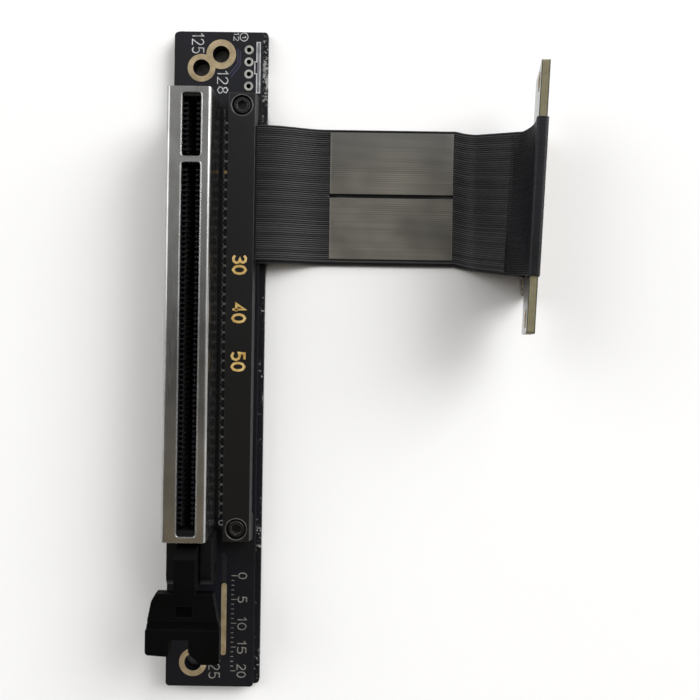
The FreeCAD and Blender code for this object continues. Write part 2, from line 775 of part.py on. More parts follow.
def make_plug_fingers(label, side):
    """Gold fingers on one face of the tongue, in a short and a long group beside the notch."""
    body = new_plug_body(label)
    for name, toward, count in (("short", "+", "plug_short_contacts"), ("long", "-", "plug_long_contacts")):
        finger = new_sketch(body, name, "YZ_Plane", f"{side}plug_thickness / 2")
        along = f"({plug_key_y} {toward} key_spacing / 2)"
        foot = f"({plug_bottom} + finger_inset)"
        add_rectangle(finger, f"{along} - finger_width / 2", f"{along} + finger_width / 2",
                      foot, f"{foot} + finger_length")
        first = pad(body, finger, "pad_thickness", reverse=side == "-")
        repeat(body, [first], count, f"({count} - 1) * contact_pitch", reverse=toward == "-")
    return body


def make_plug_eyelets():
    """Metal eyelets pressed through the plug card, standing a little proud of both faces."""
    body = new_plug_body("plug_eyelets", "plug_length / 2 - plug_hole_inset", "-plug_hole_drop")
    section = new_sketch(body, "section", "XZ_Plane")
    rim = "(plug_thickness / 2 + pad_thickness)"
    add_rectangle(section, f"-{rim}", rim, "plug_hole / 2", "plug_ring / 2")
    first = revolve(body, section, "H_Axis")
    repeat(body, [first], "2", "plug_length - 2 * plug_hole_inset")
    return body


def make_plug_wrap():
    """Tape folded over the card's top edge, where the cable's wires are joined to it."""
    body = new_plug_body("plug_wrap")
    section = new_sketch(body, "section", "XZ_Plane")
    inner = "(plug_thickness / 2)"
    outer = "(plug_thickness / 2 + wrap_thickness)"
    add_polygon(section, [
        (f"-{outer}", "-wrap_depth"),
        (f"-{inner}", "-wrap_depth"),
        (f"-{inner}", "0"),
        (inner, "0"),
        (inner, "-wrap_depth"),
        (outer, "-wrap_depth"),
        (outer, "wrap_thickness"),
        (f"-{outer}", "wrap_thickness"),
    ])
    pad(body, section, "wrap_length", symmetric=True)
    dress(body, "Fillet", "folds", "Radius", "wrap_round",
          lambda edge: runs_along(edge, Vector(0, 1, 0)) and near(middle_of(edge).z, "wrap_thickness"))
    return body


def ribbon_stations():
    """Stations along the cable's middle, as x, height and slope, from the bar to the climb."""
    on_board = value(f"{board_top} + {stack_height} / 2")
    on_table = value(f"ribbon_lift + {stack_height} / 2")
    leave = value(f"{board_right} + plate_overhang")
    settle = value("film_start - film_lead")
    lift_off = value("film_start + film_length + film_lead")
    stations = [(value("bar_across + ribbon_inset"), on_board, 0.0)]
    steps = 8
    for i in range(steps + 1):
        turn = math.pi * i / steps
        x = leave + (settle - leave) * i / steps
        z = on_table + (on_board - on_table) * (1 + math.cos(turn)) / 2
        fall = (on_board - on_table) / 2 * math.pi / (settle - leave) * math.sin(turn)
        stations.append((x, z, -math.degrees(math.atan(fall))))
    radius = value("bend_radius")
    for i in range(steps + 1):
        slope = value("climb_angle") * i / steps
        turned = math.radians(slope)
        x = lift_off + radius * math.sin(turned)
        stations.append((x, on_table + radius * (1 - math.cos(turned)), slope))
    return stations


def ribbon_section(layer):
    """Corners of one layer's flat section, about the middle of the stack."""
    inner = layer * value("layer_gap") / 2
    outer = inner + layer * value("ribbon_thickness")
    half = value("ribbon_width") / 2
    return [(-half, inner), (-half, outer), (half, outer), (half, inner)]


def closed_wire(points):
    return Part.makePolygon(points + points[:1])


def make_ribbon(label, layer, shift):
    """Layer of flat cable: clamped on the board, down to the table, then up to the plug's wrap."""
    centre = value(ribbon_centre) + shift
    lift_off = value("film_start + film_length + film_lead")
    drift = value("plug_shift") / (value("plug_reach") - lift_off)
    section = ribbon_section(layer)
    wires = []
    for x, z, slope in ribbon_stations():
        y = centre - drift * max(0.0, x - lift_off)
        up = Rotation(Vector(0, 1, 0), -slope).multVec(Vector(0, 0, 1))
        wires.append(closed_wire([Vector(x, y + across, z) + up * height for across, height in section]))
    face = -value("plug_thickness / 2 + wrap_thickness")
    drop = value("ribbon_drop")
    stretch = 1 / math.cos(math.radians(value("climb_angle - plug_tilt")))
    place = plug_placement()
    wires.append(closed_wire([
        place.multVec(Vector(face, shift + across, height * stretch - drop)) for across, height in section
    ]))
    ribbon = doc.addObject("Part::Feature", label)
    ribbon.Label = label
    ribbon.Shape = Part.makeLoft(wires, True, True)
    ribbon.Placement = Placement()
    return ribbon


def make_film_band(label, side):
    """Film on top of the upper layer, over one half of the cable's width."""
    body = new_body(label, "film_start", ribbon_centre, f"ribbon_lift + {stack_height}")
    outline = new_sketch(body, "outline")
    near_edge = "film_gap / 2"
    far_edge = "(ribbon_width / 2 - film_margin)"
    along = (near_edge, far_edge) if side == "" else (f"-{far_edge}", f"-{near_edge}")
    add_rectangle(outline, "0", "film_length", *along)
    pad(body, outline, "film_thickness")
    return body


sub_parts = [
    make_slot_board(),
    make_back_plate(),
    make_mounting_pads(),
    make_ground_strip(),
    make_slot_shield(),
    make_slot_housing(),
    make_contact_dividers(),
    make_contacts("contacts_row_a", ""),
    make_contacts("contacts_row_b", "-"),
    make_retention_latch(),
    make_clamp_bar(),
    make_clamp_screws(),
    make_clamp_nuts(),
    make_plug_board(),
    make_plug_fingers("plug_fingers_front", "-"),
    make_plug_fingers("plug_fingers_back", ""),
    make_plug_eyelets(),
    make_plug_wrap(),
    make_ribbon("ribbon_upper", 1, 0.0),
    make_ribbon("ribbon_lower", -1, -value("layer_shift")),
    make_film_band("film_band_upper", ""),
    make_film_band("film_band_lower", "-"),
]
doc.recompute()

for item in doc.Objects:
    if "Invalid" in item.State or "Error" in item.State:
        raise ValueError(f"{item.Label} failed to compute")
os.makedirs("parts", exist_ok=True)
for sub_part in sub_parts:
    if sub_part.Shape.isNull() or not sub_part.Shape.isValid():
        raise ValueError(f"{sub_part.Label} has no valid shape")
for sub_part in sub_parts:
    sub_part.Shape.exportStep(f"parts/{sub_part.Label}.step")
    print(f"{sub_part.Label}: {len(sub_part.Shape.Solids)} solids, {sub_part.Shape.Volume:.2f} mm3")
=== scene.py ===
import math
import bmesh
import bpy
from mathutils import Matrix, Vector


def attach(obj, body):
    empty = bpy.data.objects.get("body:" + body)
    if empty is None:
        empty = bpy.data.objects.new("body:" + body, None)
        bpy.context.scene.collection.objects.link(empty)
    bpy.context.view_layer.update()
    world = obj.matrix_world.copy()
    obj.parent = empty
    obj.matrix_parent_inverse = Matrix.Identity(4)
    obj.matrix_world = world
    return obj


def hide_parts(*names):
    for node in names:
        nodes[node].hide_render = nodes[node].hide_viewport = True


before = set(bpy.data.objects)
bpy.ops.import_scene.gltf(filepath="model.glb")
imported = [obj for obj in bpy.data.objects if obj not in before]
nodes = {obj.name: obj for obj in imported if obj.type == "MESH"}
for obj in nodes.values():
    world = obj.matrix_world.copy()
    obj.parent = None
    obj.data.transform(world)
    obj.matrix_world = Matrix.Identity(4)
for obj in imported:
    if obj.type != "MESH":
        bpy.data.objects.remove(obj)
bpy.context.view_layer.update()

mm = 0.001
scene = bpy.context.scene
scene.view_settings.view_transform = "Standard"
mainBody = "board_and_cable"
print("frame:", len(nodes), "nodes loaded")


def tone(red, green, blue):  # screen colour, 0 to 255, as a shader colour
    parts = []
    for part in (red, green, blue):
        part = part / 255
        parts.append(part / 12.92 if part <= 0.04045 else ((part + 0.055) / 1.055) ** 2.4)
    return (*parts, 1.0)


# shader helpers

def addNode(tree, kind, values=None, **settings):
    node = tree.nodes.new(kind)
    for name, setting in settings.items():
        setattr(node, name, setting)
    for name, number in (values or {}).items():
        node.inputs[name].default_value = number
    return node


def newGroup(name, inputs, outputs):
    tree = bpy.data.node_groups.new(name, "ShaderNodeTree")
    for label, number in inputs:
        socket = tree.interface.new_socket(name=label, in_out="INPUT", socket_type="NodeSocketFloat")
        socket.default_value = number
    for label in outputs:
        tree.interface.new_socket(name=label, in_out="OUTPUT", socket_type="NodeSocketFloat")
    return tree, tree.nodes.new("NodeGroupInput"), tree.nodes.new("NodeGroupOutput")


def mathNode(tree, operation, first, second=0.0, clamp=False):  # each item is a number or a socket
    node = addNode(tree, "ShaderNodeMath", operation=operation, use_clamp=clamp)
    for index, item in enumerate((first, second)):
        if isinstance(item, (int, float)):
            node.inputs[index].default_value = item
        else:
            tree.links.new(item, node.inputs[index])
    return node.outputs[0]


def rangeNode(tree, source, span, result=(0.0, 1.0)):  # span is taken to result, and held at its ends
    node = addNode(tree, "ShaderNodeMapRange", {1: span[0], 2: span[1], 3: result[0], 4: result[1]})
    tree.links.new(source, node.inputs[0])
    return node.outputs[0]


def mixColour(tree, mask, first, second):  # each is a colour or a socket
    node = addNode(tree, "ShaderNodeMix", data_type="RGBA")
    tree.links.new(mask, node.inputs[0])
    for index, item in ((6, first), (7, second)):
        if isinstance(item, tuple):
            node.inputs[index].default_value = item
        else:
            tree.links.new(item, node.inputs[index])
    return node.outputs[2]


def noiseNode(tree, vector, values):
    node = addNode(tree, "ShaderNodeTexNoise", values)
    tree.links.new(vector, node.inputs["Vector"])
    return node


def dotNode(tree, first, second):  # second is a socket or a fixed direction
    node = addNode(tree, "ShaderNodeVectorMath", operation="DOT_PRODUCT")
    tree.links.new(first, node.inputs[0])
    if isinstance(second, Vector):
        node.inputs[1].default_value = second
    else:
        tree.links.new(second, node.inputs[1])
    return node.outputs["Value"]


def splitNode(tree, vector):
    node = addNode(tree, "ShaderNodeSeparateXYZ")
    tree.links.new(vector, node.inputs[0])
    return node.outputs


def spanInMetres(span):
    return tuple(part * mm for part in span)


# shared effects
effectLook = {
    "grainDetail": 3.0, "cloudDetail": 2.0, "wearAndHighlightSamples": 4, "breakDetail": 3.0, "breakShare": 0.6,
    "speckDetail": 4.0, "speckRough": 0.7, "speckSpan": (0.62, 0.78), "upwardSpan": (0.3, 0.9), "lineDetail": 4.0,
}


def buildGrain():  # fine surface grain and slow change of tone
    inputs = [("Grain Scale", 3000.0), ("Cloud Scale", 60.0)]
    tree, start, end = newGroup("surfaceGrain", inputs, ["Grain", "Cloud"])
    coords = addNode(tree, "ShaderNodeTexCoord")
    for output, detail in (("Grain", effectLook["grainDetail"]), ("Cloud", effectLook["cloudDetail"])):
        noise = noiseNode(tree, coords.outputs["Object"], {"Detail": detail})
        tree.links.new(start.outputs[output + " Scale"], noise.inputs["Scale"])
        tree.links.new(noise.outputs[0], end.inputs[output])
    return tree


def buildWear():  # rubbed corners and painted edge highlights: paler where the bevel turns the normal, broken up by noise
    inputs = [("Radius", 0.0002), ("Amount", 4.0), ("Break Scale", 1200.0)]
    tree, start, end = newGroup("edgeWear", inputs, ["Wear"])
    coords = addNode(tree, "ShaderNodeTexCoord")
    geometry = addNode(tree, "ShaderNodeNewGeometry")
    bevel = addNode(tree, "ShaderNodeBevel", samples=effectLook["wearAndHighlightSamples"])
    tree.links.new(start.outputs["Radius"], bevel.inputs["Radius"])
    noise = noiseNode(tree, coords.outputs["Object"], {"Detail": effectLook["breakDetail"]})
    tree.links.new(start.outputs["Break Scale"], noise.inputs["Scale"])
    turned = mathNode(tree, "SUBTRACT", 1.0, dotNode(tree, bevel.outputs[0], geometry.outputs["Normal"]))
    strong = mathNode(tree, "MULTIPLY", turned, start.outputs["Amount"])
    broken = mathNode(tree, "MULTIPLY", noise.outputs[0], effectLook["breakShare"])
    tree.links.new(mathNode(tree, "SUBTRACT", strong, broken, True), end.inputs["Wear"])
    return tree


def buildDust():  # pale specks on faces that look up
    tree, start, end = newGroup("handlingDust", [("Speck Scale", 2500.0), ("Amount", 0.3)], ["Dust"])
    coords = addNode(tree, "ShaderNodeTexCoord")
    geometry = addNode(tree, "ShaderNodeNewGeometry")
    values = {"Detail": effectLook["speckDetail"], "Roughness": effectLook["speckRough"]}
    noise = noiseNode(tree, coords.outputs["Object"], values)
    tree.links.new(start.outputs["Speck Scale"], noise.inputs["Scale"])
    specks = rangeNode(tree, noise.outputs[0], effectLook["speckSpan"])
    upward = rangeNode(tree, splitNode(tree, geometry.outputs["Normal"])["Z"], effectLook["upwardSpan"])
    lying = mathNode(tree, "MULTIPLY", specks, upward)
    tree.links.new(mathNode(tree, "MULTIPLY", lying, start.outputs["Amount"], True), end.inputs["Dust"])
    return tree


def buildStreaks():  # fine lines drawn out along the axis with the lowest scale
    inputs = [("Scale X", 9000.0), ("Scale Y", 120.0), ("Scale Z", 9000.0)]
    tree, start, end = newGroup("drawnLines", inputs, ["Streak"])
    coords = addNode(tree, "ShaderNodeTexCoord")
    stretch = addNode(tree, "ShaderNodeCombineXYZ")
    for axis in "XYZ":
        tree.links.new(start.outputs["Scale " + axis], stretch.inputs[axis])
    scaled = addNode(tree, "ShaderNodeVectorMath", operation="MULTIPLY")
    tree.links.new(coords.outputs["Object"], scaled.inputs[0])
    tree.links.new(stretch.outputs[0], scaled.inputs[1])
    noise = noiseNode(tree, scaled.outputs[0], {"Scale": 1.0, "Detail": effectLook["lineDetail"]})
    tree.links.new(noise.outputs[0], end.inputs["Streak"])
    return tree


effects = {"grain": buildGrain(), "wearAndHighlight": buildWear(), "dust": buildDust(), "streaks": buildStreaks()}
print("shared effects:", ", ".join(effects))


def placeEffect(tree, name, values):
    node = addNode(tree, "ShaderNodeGroup")
    node.node_tree = effects[name]
    for label, number in values.items():
        node.inputs[label].default_value = number
    return node


recipe = {  # how every finish reads the shared effects
    "cloudSpan": (0.3, 0.7), "grainSpan": (0.25, 0.75), "lineSpan": (0.3, 0.7), "shadeSpan": (0.35, 0.65),
    "dustTone": tone(150, 148, 142), "dustRough": 0.4, "roundSamples": 6,
}


def makeFinish(name, look):  # one base recipe: two tones, grain, drawn lines, worn edges that are partly painted edge highlights, dust
    material = bpy.data.materials.new(name)
    material.use_nodes = True
    tree = material.node_tree
    shader = tree.nodes["Principled BSDF"]
    for label, key in (("Metallic", "metallic"), ("Specular IOR Level", "specular")):
        if key in look:
            shader.inputs[label].default_value = look[key]
    grain = placeEffect(tree, "grain", {"Grain Scale": look["grainScale"], "Cloud Scale": look["cloudScale"]})
    cloud = rangeNode(tree, grain.outputs["Cloud"], recipe["cloudSpan"])
    colour = mixColour(tree, cloud, look["darkTone"], look["lightTone"])
    rough = rangeNode(tree, grain.outputs["Grain"], recipe["grainSpan"], look["roughness"])
    height = grain.outputs["Grain"]
    if "streaks" in look:
        lines = placeEffect(tree, "streaks", look["streaks"]).outputs["Streak"]
        rough = rangeNode(tree, lines, recipe["lineSpan"], look["roughness"])
        shaded = rangeNode(tree, lines, recipe["shadeSpan"], (0.0, look["streakTone"]))
        colour = mixColour(tree, shaded, colour, look["darkTone"])
        height = mathNode(tree, "ADD", lines, grain.outputs["Grain"])
    # worn edges, partly a painted highlight: paler tone where the bevel turns
    if "wearAndHighlight" in look:
        wearAndHighlight = placeEffect(tree, "wearAndHighlight", look["wearAndHighlight"])
        colour = mixColour(tree, wearAndHighlight.outputs["Wear"], colour, look["wearAndHighlightTone"])
    if "dust" in look:
        dust = placeEffect(tree, "dust", look["dust"]).outputs["Dust"]
        colour = mixColour(tree, dust, colour, recipe["dustTone"])
        rough = mathNode(tree, "ADD", rough, mathNode(tree, "MULTIPLY", dust, recipe["dustRough"]), True)
    bump = addNode(tree, "ShaderNodeBump", {"Strength": look["bump"], "Distance": look["bumpDepth"] * mm})
    tree.links.new(height, bump.inputs["Height"])
    if "edgeRound" in look:  # soft corners that catch the light
        radius = {"Radius": look["edgeRound"] * mm}
        rounded = addNode(tree, "ShaderNodeBevel", radius, samples=recipe["roundSamples"])
        tree.links.new(rounded.outputs[0], bump.inputs["Normal"])
    tree.links.new(bump.outputs[0], shader.inputs["Normal"])
    tree.links.new(rough, shader.inputs["Roughness"])
    tree.links.new(colour, shader.inputs["Base Color"])
    return material, tree, shader, colour


boardLook = {  # black mask over laminate
    "darkTone": tone(9, 9, 13), "lightTone": tone(16, 17, 25), "grainScale": 2600.0, "cloudScale": 90.0,
    "roughness": (0.4, 0.54), "bump": 0.12, "bumpDepth": 0.02, "edgeRound": 0.08,
    "specular": 0.25, "wearAndHighlight": {"Radius": 0.00012, "Amount": 2.0}, "wearAndHighlightTone": tone(40, 40, 42),
    "dust": {"Speck Scale": 2600.0, "Amount": 0.08},
}
steelLook = {  # rolled steel sheet
    "darkTone": tone(146, 145, 143), "lightTone": tone(186, 186, 185), "grainScale": 1600.0, "cloudScale": 110.0,
    "roughness": (0.19, 0.29), "bump": 0.1, "bumpDepth": 0.01, "edgeRound": 0.17, "metallic": 1.0,
    "streaks": {"Scale X": 7000.0, "Scale Y": 160.0, "Scale Z": 7000.0}, "streakTone": 0.35,
    "wearAndHighlight": {"Radius": 0.0001, "Amount": 2.0}, "wearAndHighlightTone": tone(222, 221, 218),
    "dust": {"Speck Scale": 3000.0, "Amount": 0.15},
}
mouldLook = {  # black slot moulding
    "darkTone": tone(4, 4, 5), "lightTone": tone(8, 8, 9), "grainScale": 4200.0, "cloudScale": 150.0,
    "roughness": (0.42, 0.6), "bump": 0.2, "bumpDepth": 0.02, "edgeRound": 0.08,
    "specular": 0.2, "wearAndHighlight": {"Radius": 0.0001, "Amount": 1.6}, "wearAndHighlightTone": tone(30, 30, 32),
    "dust": {"Speck Scale": 3000.0, "Amount": 0.06},
}
insideLook = dict(mouldLook, darkTone=tone(14, 14, 19), lightTone=tone(22, 22, 30), specular=0.16)  # between contacts
latchLook = {  # latch moulding, spark grained
    "darkTone": tone(2, 2, 2), "lightTone": tone(5, 5, 6), "grainScale": 5200.0, "cloudScale": 120.0,
    "roughness": (0.4, 0.58), "bump": 0.25, "bumpDepth": 0.03, "edgeRound": 0.3,
    "specular": 0.07, "wearAndHighlight": {"Radius": 0.00025, "Amount": 1.6}, "wearAndHighlightTone": tone(20, 20, 22),
    "dust": {"Speck Scale": 2600.0, "Amount": 0.05},
}
barLook = {  # satin black coating on the clamp bar; its pale worn edges are partly a painted highlight round the bores
    "darkTone": tone(3, 3, 4), "lightTone": tone(7, 7, 8), "grainScale": 3600.0, "cloudScale": 70.0,
    "roughness": (0.36, 0.44), "bump": 0.12, "bumpDepth": 0.02, "edgeRound": 0.2,
    "specular": 0.42, "wearAndHighlight": {"Radius": 0.00022, "Amount": 3.0}, "wearAndHighlightTone": tone(92, 92, 94),
    "dust": {"Speck Scale": 2800.0, "Amount": 0.08},
}
screwLook = {  # blackened steel; pale worn edges are partly a painted highlight on the head's rim and socket
    "darkTone": tone(18, 18, 20), "lightTone": tone(34, 34, 36), "grainScale": 4000.0, "cloudScale": 300.0,
    "roughness": (0.32, 0.5), "bump": 0.15, "bumpDepth": 0.01, "edgeRound": 0.12, "metallic": 0.6,
    "wearAndHighlight": {"Radius": 0.0003, "Amount": 4.0}, "wearAndHighlightTone": tone(112, 110, 106),
}
rimHighlightLook = dict(screwLook, darkTone=tone(86, 86, 88), lightTone=tone(120, 120, 122), metallic=0.8)  # pale rings at the bores, a painted highlight
goldLook = {  # bare plated pads
    "darkTone": tone(140, 124, 94), "lightTone": tone(178, 160, 128), "grainScale": 3000.0, "cloudScale": 420.0,
    "roughness": (0.4, 0.55), "bump": 0.15, "bumpDepth": 0.01, "metallic": 0.3,
    "wearAndHighlight": {"Radius": 0.0001, "Amount": 2.4}, "wearAndHighlightTone": tone(226, 210, 178),
    "dust": {"Speck Scale": 2200.0, "Amount": 0.12},
}
tinLook = {  # tinned rings
    "darkTone": tone(138, 137, 132), "lightTone": tone(186, 186, 182), "grainScale": 3600.0, "cloudScale": 700.0,
    "roughness": (0.34, 0.5), "bump": 0.2, "bumpDepth": 0.01, "metallic": 0.3,
}
tapeLook = {  # black sleeve drawn over the card edge
    "darkTone": tone(13, 13, 17), "lightTone": tone(32, 33, 38), "grainScale": 2400.0, "cloudScale": 70.0,
    "roughness": (0.4, 0.54), "bump": 0.12, "bumpDepth": 0.015, "specular": 0.24,
    "streaks": {"Scale X": 12.0, "Scale Y": 1900.0, "Scale Z": 12.0}, "streakTone": 0.95,
    "dust": {"Speck Scale": 1800.0, "Amount": 0.14},
}
printLook = {  # white print, slightly broken
    "darkTone": tone(150, 152, 154), "lightTone": tone(206, 208, 208), "grainScale": 5000.0, "cloudScale": 900.0,
    "roughness": (0.5, 0.7), "bump": 0.2, "bumpDepth": 0.01,
}
dimLook = dict(printLook, darkTone=tone(104, 102, 96), lightTone=tone(142, 140, 132))  # rubbed print
greyLook = dict(printLook, darkTone=tone(80, 81, 86), lightTone=tone(112, 112, 118))  # thin print
shadedPrintLook = dict(printLook, darkTone=tone(62, 62, 66), lightTone=tone(90, 90, 95))  # print worn thin beside the bar
legendLook = {  # print darkened beside the bar: painted shade of the gap there
    "darkTone": tone(196, 158, 84), "lightTone": tone(232, 202, 134), "grainScale": 5000.0, "cloudScale": 600.0,
    "roughness": (0.34, 0.5), "bump": 0.15, "bumpDepth": 0.01, "metallic": 0.25,
}
traceLook = dict(boardLook, darkTone=tone(34, 32, 50), lightTone=tone(52, 50, 74))  # copper under the mask
planeLook = dict(boardLook, darkTone=tone(18, 18, 21), lightTone=tone(32, 32, 35))  # wide copper under the mask
plainLooks = {
    "boardMask": boardLook, "shieldSteel": steelLook, "slotMoulding": mouldLook, "slotInside": insideLook,
    "latchMoulding": latchLook, "barCoating": barLook, "screwSteel": screwLook, "boreRim": rimHighlightLook,
    "padGold": goldLook, "tinnedRing": tinLook, "wrapTape": tapeLook, "boardPrint": printLook, "dimPrint": dimLook,
    "greyPrint": greyLook, "faintPrint": shadedPrintLook, "goldPrint": legendLook, "coveredCopper": traceLook,
    "coveredPlane": planeLook,
}
finishes = {name: makeFinish(name, look)[0] for name, look in plainLooks.items()}

# contacts: thin gold inside the slot; outside it the feet are painted dark and less metallic, painted shade of the
# gap between the shield and the bar; every second foot tinned at its end
contactLook = {
    "darkTone": tone(156, 151, 140), "lightTone": tone(218, 212, 198), "grainScale": 6000.0, "cloudScale": 500.0,
    "roughness": (0.28, 0.55), "bump": 0.08, "bumpDepth": 0.01, "slotMiddle": 0.55,
    "footShadeSpan": (2.9, 3.3), "footShadeTone": tone(24, 24, 23), "footShadeMetal": (1.0, 0.35),
    "tipSpan": (4.5, 4.6), "tipTone": tone(136, 134, 128), "tipPitch": 2.0, "tipFrom": 0.95,
}


def makeContactFinish(look):
    material, tree, shader, colour = makeFinish("contactGold", look)
    axes = splitNode(tree, addNode(tree, "ShaderNodeTexCoord").outputs["Object"])
    aside = mathNode(tree, "ABSOLUTE", mathNode(tree, "SUBTRACT", axes["X"], look["slotMiddle"] * mm))
    # painted shade: the feet outside the slot darkened towards the foot tone
    footShade = rangeNode(tree, aside, spanInMetres(look["footShadeSpan"]))
    colour = mixColour(tree, footShade, colour, look["footShadeTone"])
    along = mathNode(tree, "SUBTRACT", axes["Y"], look["tipFrom"] * mm)
    wave = mathNode(tree, "COSINE", mathNode(tree, "MULTIPLY", along, 2 * math.pi / (look["tipPitch"] * mm)))
    second = mathNode(tree, "GREATER_THAN", wave, 0.0)  # every second foot
    tip = mathNode(tree, "MULTIPLY", rangeNode(tree, aside, spanInMetres(look["tipSpan"])), second)
    tree.links.new(mixColour(tree, tip, colour, look["tipTone"]), shader.inputs["Base Color"])
    tree.links.new(rangeNode(tree, footShade, (0.0, 1.0), look["footShadeMetal"]), shader.inputs["Metallic"])
    tree.links.new(rangeNode(tree, footShade, (0.0, 1.0), look["roughness"]), shader.inputs["Roughness"])
    return material


finishes["contactGold"] = makeContactFinish(contactLook)

# back plate: as the board, with pale cutting flecks along its bare margin, more of them towards the header end
plateLook = dict(
    boardLook, marginStart=12.75, fleckScale=1500.0, fleckDetail=3.0, fleckRough=0.65, fleckSpan=(0.54, 0.64),
    fleckShow=0.9, fleckTone=tone(172, 172, 168), upperSpan=(25.0, 62.0), upperLift=(-0.07, 0.09),
    patchScale=70.0, patchDetail=1.0, patchSpan=(0.4, 0.65), patchLift=(-0.08, 0.06),
)


def makePlateFinish(look):
    material, tree, shader, colour = makeFinish("plateMask", look)
    place = addNode(tree, "ShaderNodeTexCoord").outputs["Object"]
    axes = splitNode(tree, place)
    margin = mathNode(tree, "GREATER_THAN", axes["X"], look["marginStart"] * mm)
    fineValues = {"Scale": look["fleckScale"], "Detail": look["fleckDetail"], "Roughness": look["fleckRough"]}
    fine = noiseNode(tree, place, fineValues)
    broad = noiseNode(tree, place, {"Scale": look["patchScale"], "Detail": look["patchDetail"]})
    upper = rangeNode(tree, axes["Y"], spanInMetres(look["upperSpan"]), look["upperLift"])
    patchy = rangeNode(tree, broad.outputs[0], look["patchSpan"], look["patchLift"])
    level = mathNode(tree, "ADD", mathNode(tree, "ADD", fine.outputs[0], upper), patchy)
    flecks = rangeNode(tree, level, look["fleckSpan"], (0.0, look["fleckShow"]))
    shown = mathNode(tree, "MULTIPLY", flecks, margin)
    tree.links.new(mixColour(tree, shown, colour, look["fleckTone"]), shader.inputs["Base Color"])
    return material


finishes["plateMask"] = makePlateFinish(plateLook)

# plug card: masked faces, laminate layers on its edges; base is the middle of its top edge
cardLook = dict(
    boardLook, tilt=9.8, yaw=2.5, base=(66.7, 33.1, 19.768), half=0.8, roughness=(0.1, 0.2), edgeLimit=0.75,
    edgeTone=tone(142, 135, 108), edgeDark=tone(106, 100, 78), edgeRough=0.5, weaveScale=900.0, weaveDetail=4.0,
    layerTone=tone(58, 56, 45), layerPitch=0.4, layerSpan=(0.75, 1.0), layerShow=0.35,
    maskTone=tone(40, 45, 35), maskLine=0.24, maskShow=0.85,
)


def cardMatrix(look):
    return Matrix.Rotation(math.radians(-look["yaw"]), 4, "Z") @ Matrix.Rotation(math.radians(-look["tilt"]), 4, "Y")


def cardPlace(look):
    return Matrix.Translation(look["base"]) @ cardMatrix(look)


def makeCardFinish(look):
    material, tree, shader, colour = makeFinish("plugLaminate", look)
    coords = addNode(tree, "ShaderNodeTexCoord")
    across = cardMatrix(look) @ Vector((1.0, 0.0, 0.0))
    facing = mathNode(tree, "ABSOLUTE", dotNode(tree, coords.outputs["Normal"], across))
    edge = mathNode(tree, "LESS_THAN", facing, look["edgeLimit"])
    depth = dotNode(tree, coords.outputs["Object"], across)
    weave = noiseNode(tree, coords.outputs["Object"], {"Scale": look["weaveScale"], "Detail": look["weaveDetail"]})
    glass = mixColour(tree, weave.outputs[0], look["edgeDark"], look["edgeTone"])
    wave = mathNode(tree, "SINE", mathNode(tree, "MULTIPLY", depth, 2 * math.pi / (look["layerPitch"] * mm)))
    layers = rangeNode(tree, wave, look["layerSpan"], (0.0, look["layerShow"]))
    laminate = mixColour(tree, layers, glass, look["layerTone"])
    middle = across.dot(Vector(look["base"])) * mm
    aside = mathNode(tree, "ABSOLUTE", mathNode(tree, "SUBTRACT", depth, middle))
    rimSpan = spanInMetres((look["half"] - look["maskLine"], look["half"] - 0.5 * look["maskLine"]))
    rim = rangeNode(tree, aside, rimSpan, (0.0, look["maskShow"]))  # the mask's edge on both faces
    laminate = mixColour(tree, rim, laminate, look["maskTone"])
    tree.links.new(mixColour(tree, edge, colour, laminate), shader.inputs["Base Color"])
    rough = shader.inputs["Roughness"].links[0].from_socket
    dull = mathNode(tree, "MULTIPLY", edge, look["edgeRough"])
    tree.links.new(mathNode(tree, "ADD", rough, dull, True), shader.inputs["Roughness"])
    return material


finishes["plugLaminate"] = makeCardFinish(cardLook)

# grey film: cooler at its outer fold, paler along the cut ends
filmLook = {
    "darkTone": tone(82, 79, 73), "lightTone": tone(124, 120, 110), "grainScale": 900.0, "cloudScale": 85.0,
    "roughness": (0.34, 0.46), "bump": 0.08, "bumpDepth": 0.02, "dust": {"Speck Scale": 1500.0, "Amount": 0.06},
    "streaks": {"Scale X": 22.0, "Scale Y": 2300.0, "Scale Z": 22.0}, "streakTone": 0.62,
    "foldTone": tone(80, 79, 76), "foldSpan": (40.0, 50.0), "foldShow": 0.8,
    "endTone": tone(118, 115, 109), "endLow": 27.6, "endHigh": 53.2, "endShow": 0.4,
}


def makeFilmFinish(look):
    material, tree, shader, colour = makeFinish("cableFilm", look)
    axes = splitNode(tree, addNode(tree, "ShaderNodeTexCoord").outputs["Object"])
    fold = rangeNode(tree, axes["Y"], spanInMetres(look["foldSpan"]), (0.0, look["foldShow"]))
    colour = mixColour(tree, fold, colour, look["foldTone"])
    below = mathNode(tree, "LESS_THAN", axes["X"], look["endLow"] * mm)
    above = mathNode(tree, "GREATER_THAN", axes["X"], look["endHigh"] * mm)
    ends = mathNode(tree, "MULTIPLY", mathNode(tree, "ADD", below, above), look["endShow"])
    tree.links.new(mixColour(tree, ends, colour, look["endTone"]), shader.inputs["Base Color"])
    return material


finishes["cableFilm"] = makeFilmFinish(filmLook)
print("finishes:", len(finishes))

# finishes of the CAD nodes
nodeFinish = {
    "slot_board": "boardMask", "back_plate": "plateMask", "mounting_pads": "padGold", "ground_strip": "padGold",
    "slot_shield": "shieldSteel", "slot_housing": "slotMoulding", "contact_dividers": "slotInside",
    "contacts_row_a": "contactGold", "contacts_row_b": "contactGold", "retention_latch": "latchMoulding",
    "clamp_bar": "barCoating", "clamp_screws": "screwSteel", "clamp_nuts": "screwSteel", "plug_board": "plugLaminate",
    "plug_fingers_front": "padGold", "plug_fingers_back": "padGold", "plug_eyelets": "padGold",
}
for name, finish in nodeFinish.items():
    for slot in nodes[name].material_slots:
        slot.material = finishes[finish]
print("CAD nodes dressed:", len(nodeFinish))


# mesh helpers

